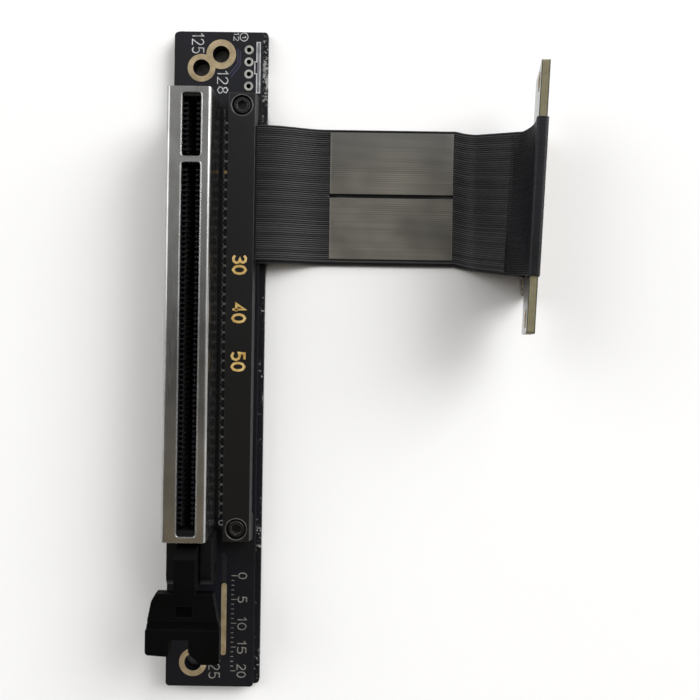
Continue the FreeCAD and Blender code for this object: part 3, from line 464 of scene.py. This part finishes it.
def addPiece(name, points, faces, finish, slotName=None, smooth=False):
    mesh = bpy.data.meshes.new(name)
    mesh.from_pydata([tuple(part * mm for part in point) for point in points], [], faces)
    solid = bmesh.new()
    solid.from_mesh(mesh)
    bmesh.ops.recalc_face_normals(solid, faces=solid.faces)
    solid.to_mesh(mesh)
    solid.free()
    if smooth:
        mesh.polygons.foreach_set("use_smooth", [True] * len(mesh.polygons))
    piece = bpy.data.objects.new(name, mesh)
    scene.collection.objects.link(piece)
    mesh.materials.append(finishes[finish])
    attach(piece, mainBody)
    return piece


def loftRows(rows):  # quads between loops of points
    points = [point for row in rows for point in row]
    count = len(rows[0])
    faces = []
    for r in range(len(rows) - 1):
        for i in range(count):
            j = (i + 1) % count
            faces.append((r * count + i, r * count + j, (r + 1) * count + j, (r + 1) * count + i))
    return points, faces


def loftCapped(rows):  # the first and last loop filled
    points, faces = loftRows(rows)
    count = len(rows[0])
    return points, faces + [tuple(range(count))[::-1], tuple(range(len(points) - count, len(points)))]


def loftRing(rows):  # the last loop joined to the first
    points, faces = loftRows(rows)
    count = len(rows[0])
    base = len(points) - count
    return points, faces + [(base + i, base + (i + 1) % count, (i + 1) % count, i) for i in range(count)]


def mergeShapes(shapes):
    points, faces = [], []
    for shapePoints, shapeFaces in shapes:
        base = len(points)
        points += shapePoints
        faces += [tuple(base + index for index in face) for face in shapeFaces]
    return points, faces


# cable finish: painted shade darkening the rib valleys, each rib a little different
jacketLook = {
    "darkTone": tone(11, 11, 13), "lightTone": tone(47, 47, 50), "grainScale": 2400.0, "cloudScale": 70.0,
    "roughness": (0.4, 0.54), "bump": 0.12, "bumpDepth": 0.015, "dust": {"Speck Scale": 1800.0, "Amount": 0.16},
    "streaks": {"Scale X": 12.0, "Scale Y": 1900.0, "Scale Z": 12.0}, "streakTone": 0.6,
    "valleySpan": (-0.2, 0.9), "valleyShade": 0.85, "ribChange": 0.55, "paleTone": tone(76, 76, 79),
}
# ribbed cable, two layers, split lengthways between the film bands
ribbon = {
    "width": 28.2, "thickness": 0.5, "layerGap": 0.1,
    "ribs": 64, "ribDepth": 0.24, "pointsPerRib": 6, "crestPower": 1.3,
    "centre": 36.3, "start": 6.8, "leave": 13.8, "settle": 26.8, "fallSteps": 18, "flatStops": (33.0, 40.4, 47.0),
    "liftOff": 54.0, "boardHeight": 3.35, "tableHeight": 0.65, "bendRadius": 6.0, "climb": 50.0, "bendSteps": 14,
    "shift": {"upper": 0.0, "lower": -0.7}, "drift": 3.2 / 12.7, "plugFace": -1.15, "plugDrop": 6.8, "runSteps": 12,
    "slitFrom": 27.25, "slitTo": 53.55, "slitStep": 0.05, "slitHalf": 0.4, "slitFloor": -0.42, "slitLayer": 0.06,
    "slitRelief": 0.02,
}


def makeJacketFinish(look, r):
    material, tree, shader, colour = makeFinish("cableJacket", look)
    axes = splitNode(tree, addNode(tree, "ShaderNodeTexCoord").outputs["Object"])
    beyond = mathNode(tree, "MAXIMUM", mathNode(tree, "SUBTRACT", axes["X"], r["liftOff"] * mm), 0.0)
    along = mathNode(tree, "ADD", axes["Y"], mathNode(tree, "MULTIPLY", beyond, r["drift"]))
    edge = (r["centre"] - r["width"] / 2) * mm
    part = mathNode(tree, "DIVIDE", mathNode(tree, "SUBTRACT", along, edge), r["width"] / r["ribs"] * mm)
    wave = mathNode(tree, "COSINE", mathNode(tree, "MULTIPLY", part, 2 * math.pi))
    # painted shade: each rib's valley darkened towards the dark tone
    valleyShadeMask = rangeNode(tree, wave, look["valleySpan"], (0.0, look["valleyShade"]))
    chance = addNode(tree, "ShaderNodeTexWhiteNoise", noise_dimensions="1D")
    tree.links.new(mathNode(tree, "FLOOR", part), chance.inputs["W"])
    pale = mathNode(tree, "MULTIPLY", chance.outputs["Value"], look["ribChange"])
    colour = mixColour(tree, pale, colour, look["paleTone"])
    tree.links.new(mixColour(tree, valleyShadeMask, colour, look["darkTone"]), shader.inputs["Base Color"])
    return material


finishes["cableJacket"] = makeJacketFinish(jacketLook, ribbon)


def ribbonStations(r):  # x, height and slope of the cable's middle
    board, table = r["boardHeight"], r["tableHeight"]
    stations = [(r["start"], board, 0.0), (0.5 * (r["start"] + r["leave"]), board, 0.0)]
    fall, span = board - table, r["settle"] - r["leave"]
    for i in range(r["fallSteps"] + 1):
        turn = math.pi * i / r["fallSteps"]
        slope = -math.atan(fall / 2 * math.pi / span * math.sin(turn))
        stations.append((r["leave"] + span * i / r["fallSteps"], table + fall * (1 + math.cos(turn)) / 2, slope))
    near = r["slitStep"]
    for x in (r["slitFrom"] - near, r["slitFrom"] + near, *r["flatStops"], r["slitTo"] - near, r["slitTo"] + near):
        stations.append((x, table, 0.0))
    for i in range(r["bendSteps"] + 1):
        slope = math.radians(r["climb"]) * i / r["bendSteps"]
        x, z = r["bendRadius"] * math.sin(slope), r["bendRadius"] * (1 - math.cos(slope))
        stations.append((r["liftOff"] + x, table + z, slope))
    return stations


def ribDip(part):  # 1 in the valley, 0 on the crest
    return (0.5 + 0.5 * math.cos(2 * math.pi * part)) ** ribbon["crestPower"]


def ribSection(r, inner, outer):  # loop of (across, height), ribbed on both faces
    half = r["width"] / 2
    total = r["ribs"] * r["pointsPerRib"]
    low, high = min(inner, outer), max(inner, outer)
    top, bottom = [], []
    for i in range(total + 1):
        across = -half + r["width"] * i / total
        dip = r["ribDepth"] * ribDip(i / r["pointsPerRib"])
        top.append((across, high - dip))
        bottom.append((across, low + dip))
    return top + bottom[::-1]


def slitHeight(r, x, y, height, side):  # the cable's halves part between the bands
    if r["slitFrom"] < x < r["slitTo"] and abs(y - r["centre"]) < r["slitHalf"]:
        return r["slitFloor"] - (0.0 if side > 0 else r["slitLayer"]) + r["slitRelief"] * height
    return height


def buildRibbon(layer, side):
    r = ribbon
    inner = side * r["layerGap"] / 2
    section = ribSection(r, inner, inner + side * r["thickness"])
    shift = r["shift"][layer]
    rows = []
    for x, z, slope in ribbonStations(r):
        y = r["centre"] + shift - r["drift"] * max(0.0, x - r["liftOff"])
        row = []
        for across, height in section:
            height = slitHeight(r, x, y + across, height, side)
            row.append(Vector((x - math.sin(slope) * height, y + across, z + math.cos(slope) * height)))
        rows.append(row)
    place = cardPlace(cardLook)
    stretch = 1 / math.cos(math.radians(r["climb"] - cardLook["tilt"]))
    last = rows[-1]
    for i in range(1, r["runSteps"] + 1):  # straight run up to the card
        row = []
        for start, (across, height) in zip(last, section):
            end = place @ Vector((r["plugFace"], shift + across, height * stretch - r["plugDrop"]))
            row.append(start.lerp(end, i / r["runSteps"]))
        rows.append(row)
    points, faces = loftCapped(rows)
    piece = addPiece("ribbed_cable_" + layer, points, faces, "cableJacket", "cable_jacket", True)
    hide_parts("ribbon_" + layer)
    return len(faces)


print("cable faces:", buildRibbon("upper", 1), buildRibbon("lower", -1))

# film bands; clear is the share of each band's width where the ribs show through
film = {
    "xLow": 27.3, "xHigh": 53.5, "base": 1.2, "top": 1.3, "least": 0.012, "edgeDrop": 0.04, "ribShow": 0.018,
    "sag": 0.02, "sagWave": 2.6, "sagDrift": 0.4, "pointsPerRib": 6, "spans": 12, "endSpan": 0.004,
    "bands": {"upper": (36.725, 49.7), "lower": (22.9, 35.875)},
    "clear": {"upper": (0.05, 0.6), "lower": (0.45, 1.1)},
}


def buildFilm(label):
    low, high = film["bands"][label]
    near, far = film["clear"][label]
    pitch = ribbon["width"] / ribbon["ribs"]
    edge = ribbon["centre"] - ribbon["width"] / 2
    count = int((high - low) / pitch * film["pointsPerRib"])
    inside = [i / film["spans"] for i in range(1, film["spans"])]
    rows = []
    for i, share in enumerate([0.0, film["endSpan"]] + inside + [1 - film["endSpan"], 1.0]):
        x = film["xLow"] + (film["xHigh"] - film["xLow"]) * share
        end = film["edgeDrop"] if share in (0.0, 1.0) else 0.0
        row = []
        for j in range(count + 1):
            t = j / count
            y = low + (high - low) * t
            show = film["ribShow"] * math.sin(math.pi * (t - near) / (far - near)) if near < t < far else 0.0
            wave = 0.5 + 0.5 * math.sin(2 * math.pi * y / film["sagWave"] + film["sagDrift"] * i)
            dip = show * ribDip((y - edge) / pitch) + film["sag"] * wave
            row.append((x, y, max(film["base"] + film["least"], film["top"] - dip - end)))
        rows.append([(x, low, film["base"])] + row + [(x, high, film["base"])])
    points, faces = loftCapped(rows)
    piece = addPiece("film_sleeve_" + label, points, faces, "cableFilm", "film", True)
    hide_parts("film_band_" + label)


for label in film["bands"]:
    buildFilm(label)
print("film bands:", len(film["bands"]))

# sleeve drawn over the plug card's top edge and down on to the cable
sleeve = {
    "skin": 0.35, "depth": 9.0, "farBreak": -4.0, "half": 14.85, "waist": 14.15, "waistPower": 0.6,
    "round": 0.7, "turnSteps": 6, "topRib": 0.02, "tuckRib": 0.05, "rib": 0.2,
    "tuckUp": -1.0, "tuckCorner": -6.05, "tuckOut": -5.2, "tuckDown": -9.5, "steps": 16,
    "hem": (0.15, -0.3), "innerTuck": (0.05, -6.6), "innerUp": -0.4, "innerGap": 0.02,
}


def sleeveSection(s):  # outer line of (x, z, half length, rib depth), from the far side over the top to the cable
    side, top, bend = cardLook["half"] + s["skin"], s["skin"], s["round"]
    line = [(side, -s["depth"], s["half"], 0.0), (side, s["farBreak"], s["half"], 0.0)]
    for centre, start in ((side - bend, 0.0), (bend - side, 90.0)):
        for i in range(s["turnSteps"] + 1):
            turn = math.radians(start + 90 / s["turnSteps"] * i)
            x, z = centre + bend * math.cos(turn), top - bend + bend * math.sin(turn)
            line.append((x, z, s["half"], s["topRib"]))
    first, corner = Vector((-side, s["tuckUp"])), Vector((-side, s["tuckCorner"]))
    last = Vector((s["tuckOut"], s["tuckDown"]))
    for i in range(s["steps"] + 1):
        t = i / s["steps"]
        spot = first.lerp(corner, t).lerp(corner.lerp(last, t), t)
        reach = s["half"] + (s["waist"] - s["half"]) * t ** s["waistPower"]
        line.append((spot.x, spot.y, reach, s["tuckRib"] + (s["rib"] - s["tuckRib"]) * t))
    return line


def buildSleeve():
    s, card = sleeve, cardLook["half"]
    half, waist, gap = s["half"], s["waist"], s["innerGap"]
    outer = sleeveSection(s)
    inner = [(s["tuckOut"] + s["hem"][0], s["tuckDown"] + s["hem"][1], waist, 0.0),
             (-card - s["innerTuck"][0], s["innerTuck"][1], waist, 0.0),
             (-card - gap, s["innerUp"], half, 0.0), (-card - gap, gap, half, 0.0),
             (card + gap, gap, half, 0.0), (card + gap, -s["depth"], half, 0.0)]
    place = cardPlace(cardLook)
    ribs, steps = ribbon["ribs"], ribbon["pointsPerRib"]
    rows = []
    for j in range(ribs * steps + 1):
        t = 2 * j / (ribs * steps) - 1
        dip = ribDip(j / steps)
        row = []
        for index, (x, z, reach, rib) in enumerate(outer + inner):
            if index < len(outer):  # ribs are cut square to the outer line
                before, after = outer[max(index - 1, 0)], outer[min(index + 1, len(outer) - 1)]
                along = Vector((after[0] - before[0], after[1] - before[1])).normalized()
                x, z = x - along.y * rib * dip, z + along.x * rib * dip
            row.append(place @ Vector((x, t * reach, z)))
        rows.append(row)
    points, faces = loftCapped(rows)
    piece = addPiece("card_sleeve", points, faces, "wrapTape", "wrap_tape", True)
    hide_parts("plug_wrap")
    return len(faces)


print("sleeve faces:", buildSleeve())

# plated header holes and a test pad on the board
pads = {
    "top": 2.8, "rise": 0.04, "headerX": 9.95, "headerY": (66.4, 63.86, 61.32, 58.78), "headerOuter": 0.95,
    "headerInner": 0.5, "testPad": (5.35, 40.6), "testRadius": 0.36, "testHole": 0.01,
}
ringEdge = {"innerDrop": 0.01, "innerSlope": 0.03, "outerSlope": 0.04, "steps": 40}


def ringShape(centre, inner, outer, low, high, steps=ringEdge["steps"]):
    turns = [2 * math.pi * i / steps for i in range(steps)]
    rows = []
    for radius, z in ((inner, low), (inner, high - ringEdge["innerDrop"]), (inner + ringEdge["innerSlope"], high),
                      (outer - ringEdge["outerSlope"], high), (outer, low)):
        rows.append([(centre[0] + radius * math.cos(turn), centre[1] + radius * math.sin(turn), z) for turn in turns])
    return loftRing(rows)


def buildPads():
    low, high = pads["top"], pads["top"] + pads["rise"]
    rings = [ringShape((pads["headerX"], y), pads["headerInner"], pads["headerOuter"], low, high)
             for y in pads["headerY"]]
    addPiece("header_rings", *mergeShapes(rings), "tinnedRing")
    # the test pad takes the paler gold print tone: a painted highlight on the pad
    testPad = ringShape(pads["testPad"], pads["testHole"], pads["testRadius"], low, high)
    addPiece("test_pad", *testPad, "goldPrint", "bare_gold")


buildPads()

# white print on the board, gold numbers on the clamp bar
marks = {
    "top": 2.8, "rise": 0.02, "line": 0.2, "thin": 0.15, "mitre": 0.5,
    "numbers": [("125", (-2.0, 0.4), (69.7, 65.6)), ("128", (3.4, 5.6), (61.9, 57.2))],
    "lower": [("125", (3.4, 5.6), (-61.6, -65.8))],
    "small": [("12", (6.7, 7.75), (70.0, 68.3)), ("1", (8.45, 9.25), (69.3, 68.85))],
    "rings": [((8.85, 69.1), 0.76, 0.92), ((5.52, -33.1), 0.36, 0.6)],
    "header": [(11.6, 68.0), (12.3, 68.0), (12.3, 57.4), (11.6, 57.4), (11.6, 61.4), (11.2, 61.4), (11.2, 63.9),
               (11.6, 63.9), (11.6, 68.0)],
    "headerBar": ((11.95, 67.9), (11.95, 57.5), 0.5), "headerRise": 0.01,
    "slotLine": ((5.02, 53.9), (5.02, -32.0), 0.34),
    "ruler": {"edge": 7.9, "from": -44.2, "ticks": 21, "every": 5, "long": 1.1, "short": 0.55,
              "numbers": ("0", "5", "10", "15", "20"), "figure": (9.3, 11.1), "half": {1: 0.575, 2: 1.3225}},
    "legend": {"top": 5.6, "line": 0.5, "numbers": [
        ("30", (7.7, 10.3), (22.8, 19.1)), ("40", (7.7, 10.3), (12.8, 9.1)), ("50", (7.7, 10.3), (2.8, -0.9))]},
}
figureSpace = {"narrow": 0.34, "plain": 0.6, "gap": 0.26}
figureStrokes = {  # across, up
    "0": [[(0.3, 0), (0.08, 0.14), (0, 0.4), (0, 0.6), (0.08, 0.86), (0.3, 1), (0.52, 0.86), (0.6, 0.6), (0.6, 0.4),
           (0.52, 0.14), (0.3, 0)]],
    "1": [[(0.02, 0.76), (0.26, 1), (0.26, 0)]],
    "2": [[(0, 0.76), (0.08, 0.92), (0.28, 1), (0.48, 0.94), (0.58, 0.78), (0.54, 0.6), (0, 0), (0.6, 0)]],
    "3": [[(0, 0.86), (0.2, 1), (0.44, 0.97), (0.56, 0.8), (0.5, 0.6), (0.26, 0.53), (0.52, 0.44), (0.6, 0.24),
           (0.46, 0.04), (0.2, 0), (0, 0.14)]],
    "4": [[(0.44, 0), (0.44, 1), (0, 0.3), (0.6, 0.3)]],
    "5": [[(0.56, 1), (0.08, 1), (0.04, 0.56), (0.28, 0.63), (0.5, 0.54), (0.6, 0.32), (0.5, 0.08), (0.26, 0),
           (0, 0.12)]],
    "8": [[(0.3, 0.54), (0.1, 0.64), (0.06, 0.84), (0.3, 1), (0.54, 0.84), (0.5, 0.64), (0.3, 0.54)],
          [(0.3, 0.54), (0.06, 0.42), (0, 0.2), (0.3, 0), (0.6, 0.2), (0.54, 0.42), (0.3, 0.54)]],
}


def stripShape(start, end, width, low, high):
    along = Vector((end[0] - start[0], end[1] - start[1])).normalized()
    aside = Vector((-along.y, along.x)) * width / 2
    corners = [(start[0] + aside.x, start[1] + aside.y), (start[0] - aside.x, start[1] - aside.y),
               (end[0] - aside.x, end[1] - aside.y), (end[0] + aside.x, end[1] + aside.y)]
    points = [(x, y, z) for z in (low, high) for x, y in corners]
    return points, [(3, 2, 1, 0), (4, 5, 6, 7), (0, 1, 5, 4), (1, 2, 6, 5), (2, 3, 7, 6), (3, 0, 4, 7)]


def strokeShape(path, width, low, high):  # printed line with mitred corners
    path = [Vector(point) for point in path]
    last = len(path) - 1
    closed = (path[0] - path[last]).length < 1e-6
    rows = []
    for i, point in enumerate(path):
        before = path[last - 1] if closed and i == 0 else path[max(i - 1, 0)]
        after = path[1] if closed and i == last else path[min(i + 1, last)]
        arrive = (point - before) if i or closed else (after - point)
        leave = (after - point) if i < last or closed else arrive
        arrive, leave = arrive.normalized(), leave.normalized()
        middle = (arrive + leave).normalized()
        aside = Vector((-middle.y, middle.x))
        aside *= width / 2 / max(marks["mitre"], aside.dot(Vector((-arrive.y, arrive.x))))
        left, right = point + aside, point - aside
        corners = ((left, low), (left, high), (right, high), (right, low))
        rows.append([(spot.x, spot.y, z) for spot, z in corners])
    return loftRing(rows[:-1]) if closed else loftCapped(rows)


def numberShapes(numbers, line, low, high):  # each reads down the board, tops of the figures towards +X
    shapes = []
    for text, (xStart, xEnd), (yStart, yEnd) in numbers:
        starts, reach = [], 0.0
        for figure in text:
            starts.append(reach)
            reach += figureSpace["narrow" if figure == "1" else "plain"] + figureSpace["gap"]
        reach -= figureSpace["gap"]
        for figure, start in zip(text, starts):
            for stroke in figureStrokes[figure]:
                path = [(xStart + up * (xEnd - xStart), yStart + (start + across) / reach * (yEnd - yStart))
                        for across, up in stroke]
                shapes.append(strokeShape(path, line, low, high))
    return shapes


def rulerShapes(ruler, low, high):  # one tick each millimetre
    shapes, numbers = [], []
    for i in range(ruler["ticks"]):
        y = ruler["from"] - i
        reach = ruler["long"] if i % ruler["every"] == 0 else ruler["short"]
        shapes.append(stripShape((ruler["edge"], y), (ruler["edge"] + reach, y), marks["thin"], low, high))
    for text in ruler["numbers"]:
        y, half = ruler["from"] - int(text), ruler["half"][len(text)]
        numbers.append((text, ruler["figure"], (y + half, y - half)))
    return shapes + numberShapes(numbers, marks["line"], low, high)


def buildPrint():
    low, high, line = marks["top"], marks["top"] + marks["rise"], marks["line"]
    shapes = [strokeShape(marks["header"], line, low, high)]
    shapes += numberShapes(marks["numbers"], line, low, high) + numberShapes(marks["small"], marks["thin"], low, high)
    shapes += [ringShape(centre, inner, outer, low, high) for centre, inner, outer in marks["rings"]]
    addPiece("board_print", *mergeShapes(shapes), "boardPrint")
    shapes = numberShapes(marks["lower"], line, low, high) + rulerShapes(marks["ruler"], low, high)
    addPiece("lower_print", *mergeShapes(shapes), "dimPrint")
    # the slot's print line is darkened, painted shade of the gap between the shield and the bar
    addPiece("slot_line", *stripShape(*marks["slotLine"], low, high), "faintPrint")
    addPiece("header_bar", *stripShape(*marks["headerBar"], low, low + marks["headerRise"]), "greyPrint")
    legend = marks["legend"]
    shapes = numberShapes(legend["numbers"], legend["line"], legend["top"], legend["top"] + marks["rise"])
    addPiece("bar_numbers", *mergeShapes(shapes), "goldPrint")


buildPrint()

# copper that shows through the mask
traces = {
    "rise": 0.012, "plane": ([(5.9, -39.6), (6.35, -40.3), (6.35, -45.75)], 0.9),
    "runs": [([(7.6, 66.6), (7.6, 63.5), (5.9, 61.2)], 0.3), ([(8.1, 66.2), (8.1, 63.2), (6.2, 60.6)], 0.3)],
}


def buildTraces():
    low, high = pads["top"], pads["top"] + traces["rise"]
    runs = [strokeShape(path, width, low, high) for path, width in traces["runs"]]
    addPiece("covered_traces", *mergeShapes(runs), "coveredCopper", "board_mask")
    addPiece("covered_plane", *strokeShape(*traces["plane"], low, high), "coveredPlane", "board_mask")


buildTraces()

# rolled lips round the shield's openings
lips = {
    "xSpan": (-1.3, 2.4), "ySpans": ((41.025, 53.425), (-33.025, 39.875)), "corner": 0.6, "turnSteps": 8,
    "top": 14.3, "sink": 0.03, "rise": 0.045, "width": 0.3, "bowSteps": 6,
}


def lipShape(ySpan):
    (xLow, xHigh), (yLow, yHigh), corner = lips["xSpan"], ySpan, lips["corner"]
    centres = ((xHigh - corner, yHigh - corner), (xLow + corner, yHigh - corner),
               (xLow + corner, yLow + corner), (xHigh - corner, yLow + corner))
    rows = []
    for quarter, centre in enumerate(centres):
        for i in range(lips["turnSteps"] + 1):
            turn = math.radians(90 * quarter + 90 * i / lips["turnSteps"])
            out = Vector((math.cos(turn), math.sin(turn)))
            row = []
            for k in range(lips["bowSteps"] + 1):  # half round from the opening's wall to the flat
                bow = math.pi * k / lips["bowSteps"]
                spot = Vector(centre) + out * (corner + lips["width"] * (0.5 - 0.5 * math.cos(bow)))
                height = lips["top"] - lips["sink"] + (lips["rise"] + lips["sink"]) * math.sin(bow)
                row.append((spot.x, spot.y, height))
            rows.append(row)
    return loftRing(rows)


shapes = [lipShape(ySpan) for ySpan in lips["ySpans"]]
addPiece("opening_lips", *mergeShapes(shapes), "shieldSteel", "shield_steel", True)

# pale metal rings round the clamp bar's bores: a painted highlight, for the light their chamfered edges catch all
# round
rims = {"places": ((9.05, 53.9), (9.05, -33.7)), "inner": 2.1, "outer": 2.3, "top": 5.6, "sink": 0.05, "rise": 0.015,
        "steps": 64}
rimLow, rimHigh = rims["top"] - rims["sink"], rims["top"] + rims["rise"]
shapes = [ringShape(place, rims["inner"], rims["outer"], rimLow, rimHigh, rims["steps"]) for place in rims["places"]]
addPiece("bore_rim_highlights", *mergeShapes(shapes), "boreRim", "screw_steel")
print("board details: pads, print, numbers, traces, lips, rims")

# pale floor, shaded only where it lies deep under the board's holes
floorLook = {
    "size": 6.0, "drop": 0.02, "tone": (0.96, 0.96, 0.96, 1.0), "rough": 0.9, "specular": 0.1,
    "holeTone": (0.0, 0.0, 0.0, 1.0), "holeSpan": (0.3, 0.5), "holeLeast": 0.1, "holeReach": 0.006, "holeSamples": 8,
}


def buildFloor():
    half, drop = floorLook["size"] / 2, floorLook["drop"] * mm
    mesh = bpy.data.meshes.new("floor")
    corners = [(x * half, y * half, -drop) for x, y in ((-1, -1), (1, -1), (1, 1), (-1, 1))]
    mesh.from_pydata(corners, [], [(0, 1, 2, 3)])
    floor = bpy.data.objects.new("floor", mesh)
    scene.collection.objects.link(floor)
    material = bpy.data.materials.new("paleFloor")
    material.use_nodes = True
    tree = material.node_tree
    shader = tree.nodes["Principled BSDF"]
    reach = {"Distance": floorLook["holeReach"]}
    sky = addNode(tree, "ShaderNodeAmbientOcclusion", reach, samples=floorLook["holeSamples"])
    seen = rangeNode(tree, sky.outputs["AO"], floorLook["holeSpan"], (floorLook["holeLeast"], 1.0))
    tree.links.new(mixColour(tree, seen, floorLook["holeTone"], floorLook["tone"]), shader.inputs["Base Color"])
    shader.inputs["Roughness"].default_value = floorLook["rough"]
    shader.inputs["Specular IOR Level"].default_value = floorLook["specular"]
    mesh.materials.append(material)


# soft dome: dim overhead, bright low down, a little warm towards the latch end; each span lies along one axis
dome = {
    "zenith": 0.17, "side": 0.98, "heightSpan": (1.0, 0.3),
    "ahead": 0.65, "aheadSpan": (0.05, 0.5), "highSpan": (0.55, 0.85),
    "shade": 0.6, "lit": 1.0, "asideSpan": (-0.9, 0.9), "behind": 0.12, "behindSpan": (-0.32, 0.12),
    "frontSpan": (-0.05, 0.3), "right": 1.2, "rightSpan": (0.35, 0.8), "left": 0.55, "leftSpan": (-0.2, -0.55),
    "middleSpan": (0.25, 0.5), "warmLift": 0.29, "warmSpan": (-0.05, -0.3), "aboveSpan": (0.7, 0.85),
    "backdropSpan": (0.42, 0.52), "plainLight": (1.0, 1.0, 1.0, 1.0), "warmLight": (1.0, 0.79, 0.47, 1.0),
}


def buildWorld():
    world = bpy.data.worlds.new("softDome")
    scene.world = world
    world.use_nodes = True
    tree = world.node_tree
    background = tree.nodes["Background"]
    axes = splitNode(tree, addNode(tree, "ShaderNodeTexCoord").outputs["Generated"])

    def lobe(axis, span, low=0.0, high=1.0):
        return rangeNode(tree, axes[axis], dome[span], (low, high))

    def times(first, second):
        return mathNode(tree, "MULTIPLY", first, second)

    def plus(first, second):
        return mathNode(tree, "ADD", first, second)

    ahead = times(lobe("Y", "aheadSpan", 0.0, dome["ahead"]), lobe("Z", "highSpan"))
    level = plus(lobe("Z", "heightSpan", dome["zenith"], dome["side"]), ahead)
    level = times(level, lobe("X", "asideSpan", dome["shade"], dome["lit"]))
    level = times(level, lobe("Y", "behindSpan", dome["behind"], 1.0))
    front = lobe("Y", "frontSpan")
    right = times(lobe("X", "rightSpan", 0.0, dome["right"]), front)
    left = times(lobe("X", "leftSpan", 0.0, dome["left"]), times(front, lobe("Z", "middleSpan")))
    level = plus(level, plus(right, left))
    warm = times(lobe("Y", "warmSpan"), lobe("Z", "aboveSpan"))
    level = plus(level, times(warm, dome["warmLift"]))
    path = addNode(tree, "ShaderNodeLightPath")  # pale backdrop low down, the same to the eye and in reflections
    seen = mathNode(tree, "MAXIMUM", path.outputs["Is Camera Ray"], path.outputs["Is Glossy Ray"])
    seen = mathNode(tree, "MAXIMUM", seen, path.outputs["Is Transmission Ray"])
    backdrop = times(seen, lobe("Z", "backdropSpan", 1.0, 0.0))
    tree.links.new(mathNode(tree, "MAXIMUM", level, backdrop), background.inputs["Strength"])
    tree.links.new(mixColour(tree, warm, dome["plainLight"], dome["warmLight"]), background.inputs["Color"])


softboxes = {  # place, size and power of each, all turned to one point
    "aim": (0.02, 0.0, 0.0),
    "lamps": [((2.0, 1.55, 1.48), 1.7, 55.0), ((1.2, 2.1, 1.48), 1.6, 22.0), ((-2.0, 0.9, 1.48), 1.6, 18.0)],
}


def buildLamps():
    for place, size, power in softboxes["lamps"]:
        lamp = bpy.data.lights.new("softbox", "AREA")
        lamp.shape = "SQUARE"
        lamp.size = size
        lamp.energy = power
        holder = bpy.data.objects.new("softbox", lamp)
        scene.collection.objects.link(holder)
        holder.location = place
        facing = Vector(softboxes["aim"]) - Vector(place)
        holder.rotation_euler = facing.to_track_quat("-Z", "Y").to_euler()


photoView = {  # straight down; focal, frame and shift are in pixels of the picture
    "eye": (31.0, 5.7, 152.8), "turn": 0.84, "focal": 713.25, "frame": 700, "shift": (5, -10),
    "sensor": 36.0, "clip": 0.005,
}


def buildCamera():
    lens = bpy.data.cameras.new("photoCamera")
    lens.sensor_width = photoView["sensor"]
    lens.sensor_fit = "HORIZONTAL"
    lens.lens = photoView["focal"] / photoView["frame"] * photoView["sensor"]
    lens.shift_x = photoView["shift"][0] / photoView["frame"]
    lens.shift_y = photoView["shift"][1] / photoView["frame"]
    lens.clip_start = photoView["clip"]
    camera = bpy.data.objects.new("photoCamera", lens)
    scene.collection.objects.link(camera)
    camera.location = [part * mm for part in photoView["eye"]]
    camera.rotation_euler = (0.0, 0.0, math.radians(photoView["turn"]))
    scene.camera = camera


buildFloor()
buildWorld()
buildLamps()
buildCamera()
print("stage: floor, dome,", len(softboxes["lamps"]), "softboxes, camera")
